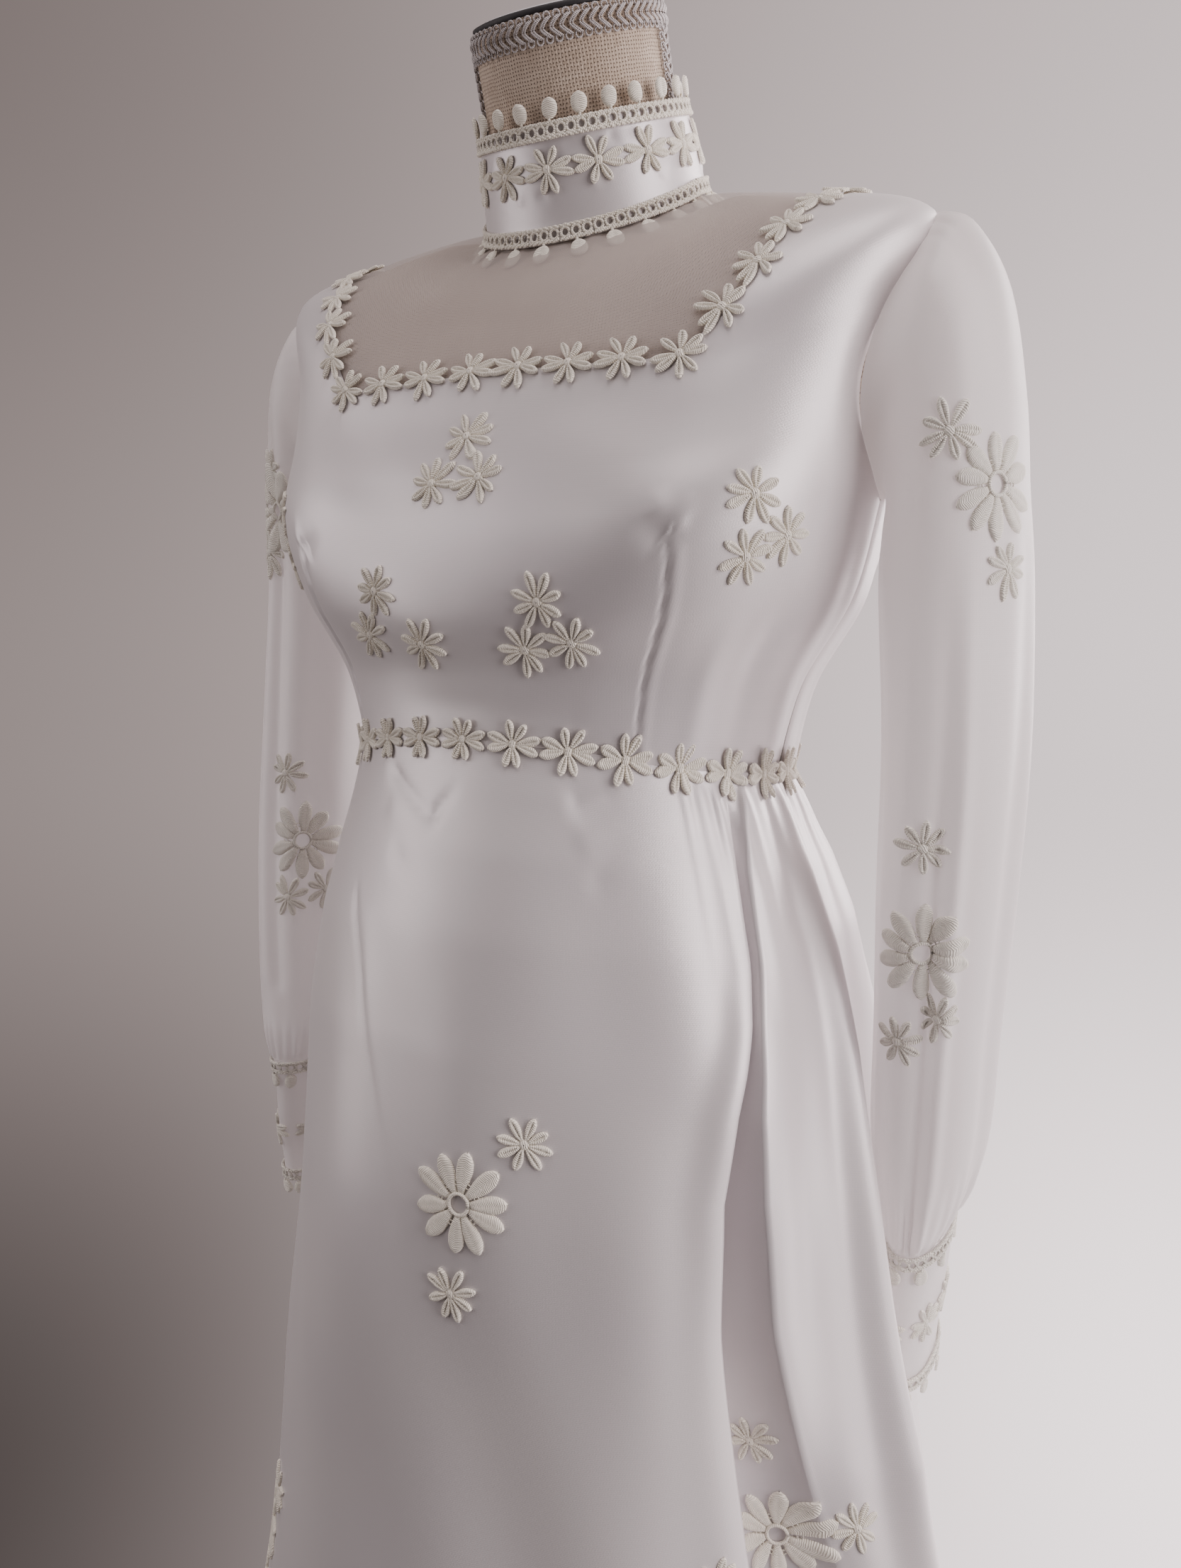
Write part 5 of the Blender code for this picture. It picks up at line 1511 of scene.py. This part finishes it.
def lay_edging(surface, level, count, start, upward, lift, steps, flare=0.0, dip=level_all_round):
    """count units round a surface, at one level plus dip(angle); flare lifts the drops off the cloth."""
    laid = []
    for k in range(count):
        a = start + k * 360.0 / count
        beside = np.array([a - 2.0, a + 2.0])
        path = surface(beside, np.array([level, level]))
        pitch = np.linalg.norm(path[1] - path[0]) / 4.0 * 360.0 / count
        swing, twist = chance.uniform(-9, 9), chance.uniform(-15, 15)
        points, faces, flats = edging_unit(pitch * 1.02, swing, twist)
        points = points + np.maximum(0, -points[:, 1:2] - 3.5) * np.array((0, 0, flare))
        ahead = surface(beside, level + dip(beside))
        along = (ahead[1] - ahead[0]) * (-1 if upward else 1)
        laid.append(lay(surface, a, level + dip(a), (points, faces, flats), lift, 0.0, along, steps))
    return laid


for name, node, level, start, upward, flare, dip in (
    ("collar_upper_edging", "collar_top_edging", -41.0, -176.0, True, 0.0, level_all_round),
    ("collar_lower_edging", "collar_base_edging", -5.0, -170.0, False, 0.55, collar_dip),
):
    laid = lay_edging(collar_surface, level, 23, start, upward, 0.5, (0.5, 0.5), flare, dip)
    make_lace(name, laid, lace, [node])
for word, (surface, length) in cuffs.items():
    for part_name, node, level in (("upper", "top", 4.0), ("lower", "bottom", length - 4.5)):
        laid = lay_edging(surface, level, 10, -172.0, False, 0.5, (1.0, 0.5))
        make_lace(f"cuff_{part_name}_edging_{word}", laid, sleeve_lace_painted_light, [f"cuff_{node}_edging_{word}"])

# %% [markdown]
# ## Sewn-on flowers
#
# The loose flowers are sewn on in groups: three small ones on the bodice, and one large with small ones round it
# on the skirt and the sleeves. Each row says where a flower's middle lies on its surface.

# %% Flowers on bodice, skirt and sleeves
# Columns: size, angle, ring or drop or row, turn in degrees.
BODICE_FLOWERS = (
    ("small", -1.2, 4.27, 12), ("small", -4.5, 5.06, 30), ("small", 1.2, 4.99, 5), ("small", -15, 6.75, 20),
    ("small", -20.7, 7.41, 3), ("small", -6.7, 7.51, 14), ("small", 13.5, 6.89, 8), ("small", 12.6, 7.58, 25),
    ("small", 21.5, 7.47, 16), ("small", 49.1, 5.9, 10), ("small", 58.2, 6.38, 33), ("small", 50.3, 6.56, 2),
    ("small", -50.0, 5.9, 8), ("small", -58.0, 6.4, 20), ("small", -50.5, 6.6, 36),
)
SKIRT_FLOWERS = (
    ("small", 19.1, 0.147, 20), ("large", 8.4, 0.174, 4), ("small", 6.9, 0.212, 12), ("small", 64.0, 0.281, 8),
    ("large", 67.5, 0.323, 16), ("small", 76.0, 0.317, 0), ("small", 50.8, 0.324, 22), ("small", 30.0, 0.47, 5),
    ("large", 22.0, 0.5, 20), ("small", 19.0, 0.545, 30), ("small", -42.0, 0.36, 14), ("large", -50.0, 0.39, 2),
    ("small", -53.0, 0.43, 26), ("small", -14.0, 0.66, 9), ("large", -20.0, 0.695, 31), ("small", -24.0, 0.74, 3),
    ("small", 60.0, 0.63, 40), ("large", 55.0, 0.665, 12), ("small", 52.0, 0.71, 7), ("small", -75.0, 0.58, 21),
    ("large", -80.0, 0.61, 5), ("small", -83.0, 0.655, 33),
)
LEFT_SLEEVE_FLOWERS = (
    ("small", -75.8, 3.07, 12), ("large", -41.2, 3.98, 4), ("small", -33.8, 4.9, 18), ("small", -90.8, 6.63, 30),
    ("large", -87.0, 7.32, 10), ("small", -103.0, 7.95, 6), ("small", -71.2, 7.75, 24), ("small", 62.0, 5.5, 9),
    ("large", 70.0, 6.15, 22), ("small", 58.0, 6.8, 35),
)
RIGHT_SLEEVE_FLOWERS = (
    ("small", 105.8, 6.55, 22), ("large", 124.0, 7.14, 8), ("small", 112.0, 7.66, 2), ("small", 147.0, 7.6, 15),
    ("small", 74.0, 2.9, 10), ("large", 86.0, 3.55, 20), ("small", 70.0, 4.5, 33), ("small", -62.0, 5.5, 12),
    ("large", -70.0, 6.15, 28), ("small", -58.0, 6.8, 4),
)
SHAPES = {"small": small_daisy, "large": large_daisy}


def sew_on(name, surface, flowers, lift, steps, finish=lace):
    laid = []
    for size, a, b, degrees in flowers:
        laid.append(lay(surface, a, b, SHAPES[size](uneven=1.0), lift, degrees, steps=steps))
    return make_lace(name, laid, finish)


sew_on("bodice_flowers", satin_front, BODICE_FLOWERS, 0.1, (0.5, 0.02))
sew_on("skirt_flowers", skirt_surface, SKIRT_FLOWERS, 0.1, (0.5, 0.004))
sew_on("sleeve_flowers_left", left_sleeve, LEFT_SLEEVE_FLOWERS, 0.1, (1.0, 0.02), sleeve_lace_painted_light)
sew_on("sleeve_flowers_right", right_sleeve, RIGHT_SLEEVE_FLOWERS, 0.1, (1.0, 0.02), sleeve_lace_painted_light)

# %% [markdown]
# ## The dress form
#
# The form is a padded body covered in loose-woven linen, closed at the neck with a black band and a white plate
# and trimmed with grey gimp braid. It stands on a pole with a heavy round foot. Little of it shows, but the
# linen neck and the yoke's colour depend on it.

# %% Linen body
FORM_NECK = ((88, 46.5), (50, 47.2), (15, 50.5), (-4, 53))
FORM_BODY_RINGS = (1, 1.5, 2, 2.5, 3, 3.6, 4.3, 5, 6, 7, 8, 8.8)
FORM_HIPS = ((1090, 109, 100, 96), (1040, 118, 104, 110), (980, 129, 108, 122), (920, 134, 110, 126),
             (870, 133, 108, 122), (850, 128, 104, 117))


def on_neck(angles, height, radius):
    return round_neck(angles, np.full_like(angles, height), np.full_like(angles, radius))


def form_rings(angles):
    rows = [on_neck(angles, height, radius) for height, radius in FORM_NECK]
    turn = np.radians(angles)
    for ring in FORM_BODY_RINGS:
        corner = np.sin(2 * turn) ** 2
        clear = 0.9 + 2.2 * np.cos(turn) ** 2 + 4.5 * corner * math.exp(-(((ring - 2.6) / 0.8) ** 2))
        if ring >= 2.5:
            clear = np.maximum(clear, 3.0 + max(0.0, min(1.0, ring - TIP)))
        level = np.full_like(angles, float(ring))
        rows.append(body_form(angles, level) - facing_out(body_form, angles, level, 0.5, 0.02) * clear[:, None])
    for height, half_width, front, back in FORM_HIPS:
        depth = np.where(np.cos(turn) > 0, front, back)
        rows.append(np.stack([half_width * np.sin(turn), -depth * np.cos(turn), np.full_like(angles, height)], -1))
    return np.array(rows)


form_angles = np.linspace(-180, 180, 109)
coarse = form_rings(form_angles)
fine = smooth_rows(coarse.reshape(len(coarse), -1), np.linspace(0, len(coarse) - 1, 120)).reshape(120, -1, 3)
under = np.array([0.0, 3.0, 850.0])
closing = np.array([under + (fine[-1] - under) * share for share in (0.97, 0.6, 0.05)]) - np.array((0, 0, 2.0))
linen_body = np.concatenate([fine, np.maximum(closing, (-999, -999, 850.0))])
linen_form = make_piece(
    "linen_form", linen_body, grid_faces(*linen_body.shape[:2]), cloth_flats(linen_body), linen,
    ["form_torso"],
)

# %% [markdown]
# ### Gimp braid
#
# Gimp is a flat braid of stiff silky cord: slanting strands meet in the middle like a plait, and a row of small
# loops stands along each edge. One short unit is repeated round the neck's top and down two seams of the neck.

# %% Gimp unit and its runs
def gimp_unit():
    parts = []
    for side in (-1, 1):
        loop = circle(0.9, side * 4.7, 0.8, 1.5, 16, 1.0)
        parts.append(cord(loop, 0.42, 6, True))
        for offset in (0.0, 1.15):
            x = np.linspace(-2.6, 1.6, 9)
            y = side * (0.2 + 4.0 * np.linspace(0, 1, 9) ** 0.75)
            z = 0.9 + 0.7 * np.sin(np.linspace(0, math.pi, 9))
            parts.append(cord(np.stack([x + offset, y, z], -1), 0.46, 6))
    return together(parts)


def neck_cover(angle, depth):
    angle, depth = np.broadcast_arrays(np.asarray(angle, float), np.asarray(depth, float))
    heights = [row[0] for row in FORM_NECK][::-1]
    radii = [row[1] for row in FORM_NECK][::-1]
    return round_neck(angle, -depth, np.interp(-depth, heights, radii))


GIMP_ROUND, GIMP_DOWN, GIMP_PITCH = 66, 11, 4.2
places = [(-180 + 360 * k / GIMP_ROUND, -81.5, 0.0) for k in range(GIMP_ROUND)]
places += [(seam, -75.0 + GIMP_PITCH * k, 90.0) for seam in (98.0, -66.0) for k in range(GIMP_DOWN)]
gimp_laid = [lay(neck_cover, a, b, gimp_unit(), 0.3, degrees, steps=(0.5, 0.5)) for a, b, degrees in places]
make_lace("gimp_braid_runs", gimp_laid, gimp, ["form_neck_braid"])


# %% Turned pieces: cap, foot and pole
def turned_piece(name, profile, frame_of, finish, replaced=()):
    """A profile of (radius, height) rows turned once round."""
    angles = np.linspace(-180, 180, 97)
    grid = np.array([frame_of(angles, height, radius) for radius, height in profile])
    return make_piece(name, grid, grid_faces(*grid.shape[:2]), cloth_flats(grid), finish, replaced)


def on_floor(angles, height, radius):
    turn = np.radians(angles)
    return np.stack([radius * np.sin(turn), -radius * np.cos(turn), np.full_like(angles, height)], -1)


turned_piece(
    "black_neck_cap", ((45.8, 88.3), (46.2, 89.0), (46.0, 90.4), (44.0, 91.0), (43.0, 90.8)), on_neck, cap_black,
    ["form_neck_cap"],
)
turned_piece(
    "white_neck_plate", ((43.6, 89.4), (43.4, 91.2), (42.0, 91.6), (20.0, 91.6), (0.3, 91.6)), on_neck, cap_white,
)
turned_piece(
    "round_foot",
    ((0.5, 0.1), (150, 0.1), (163, 0.1), (164.6, 0.8), (165, 2.4), (165, 5.5), (164, 8.2), (160.5, 10.6), (150, 12.0),
     (120, 13.0), (60, 13.6), (24, 14.0), (19, 14.0), (14.5, 14.0)),
    on_floor, steel, ["stand_base"],
)
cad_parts["stand_pole"].material_slots[0].material = steel
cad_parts["back_zip"].material_slots[0].material = tape

# %% [markdown]
# ## Zip puller
#
# The zip is hidden in the centre-back seam, so only its small puller shows at the collar's foot.

# %% Puller
puller = together([
    cord(circle(0, -6.0, 1.0, 2.3, 16, 1.5), 0.5, 6, True),
    petal(-4.0, 4.0, 2.2, 1.6, 90, 0.0, DROP_OUTLINE),
    petal(0.0, 7.0, 1.7, 1.0, -90, 0.0, DROP_OUTLINE),
])
make_lace("zip_puller", [lay(edge_surface, 179.0, 0.4, puller, 0.6, steps=(0.5, 0.02))], zip_metal)
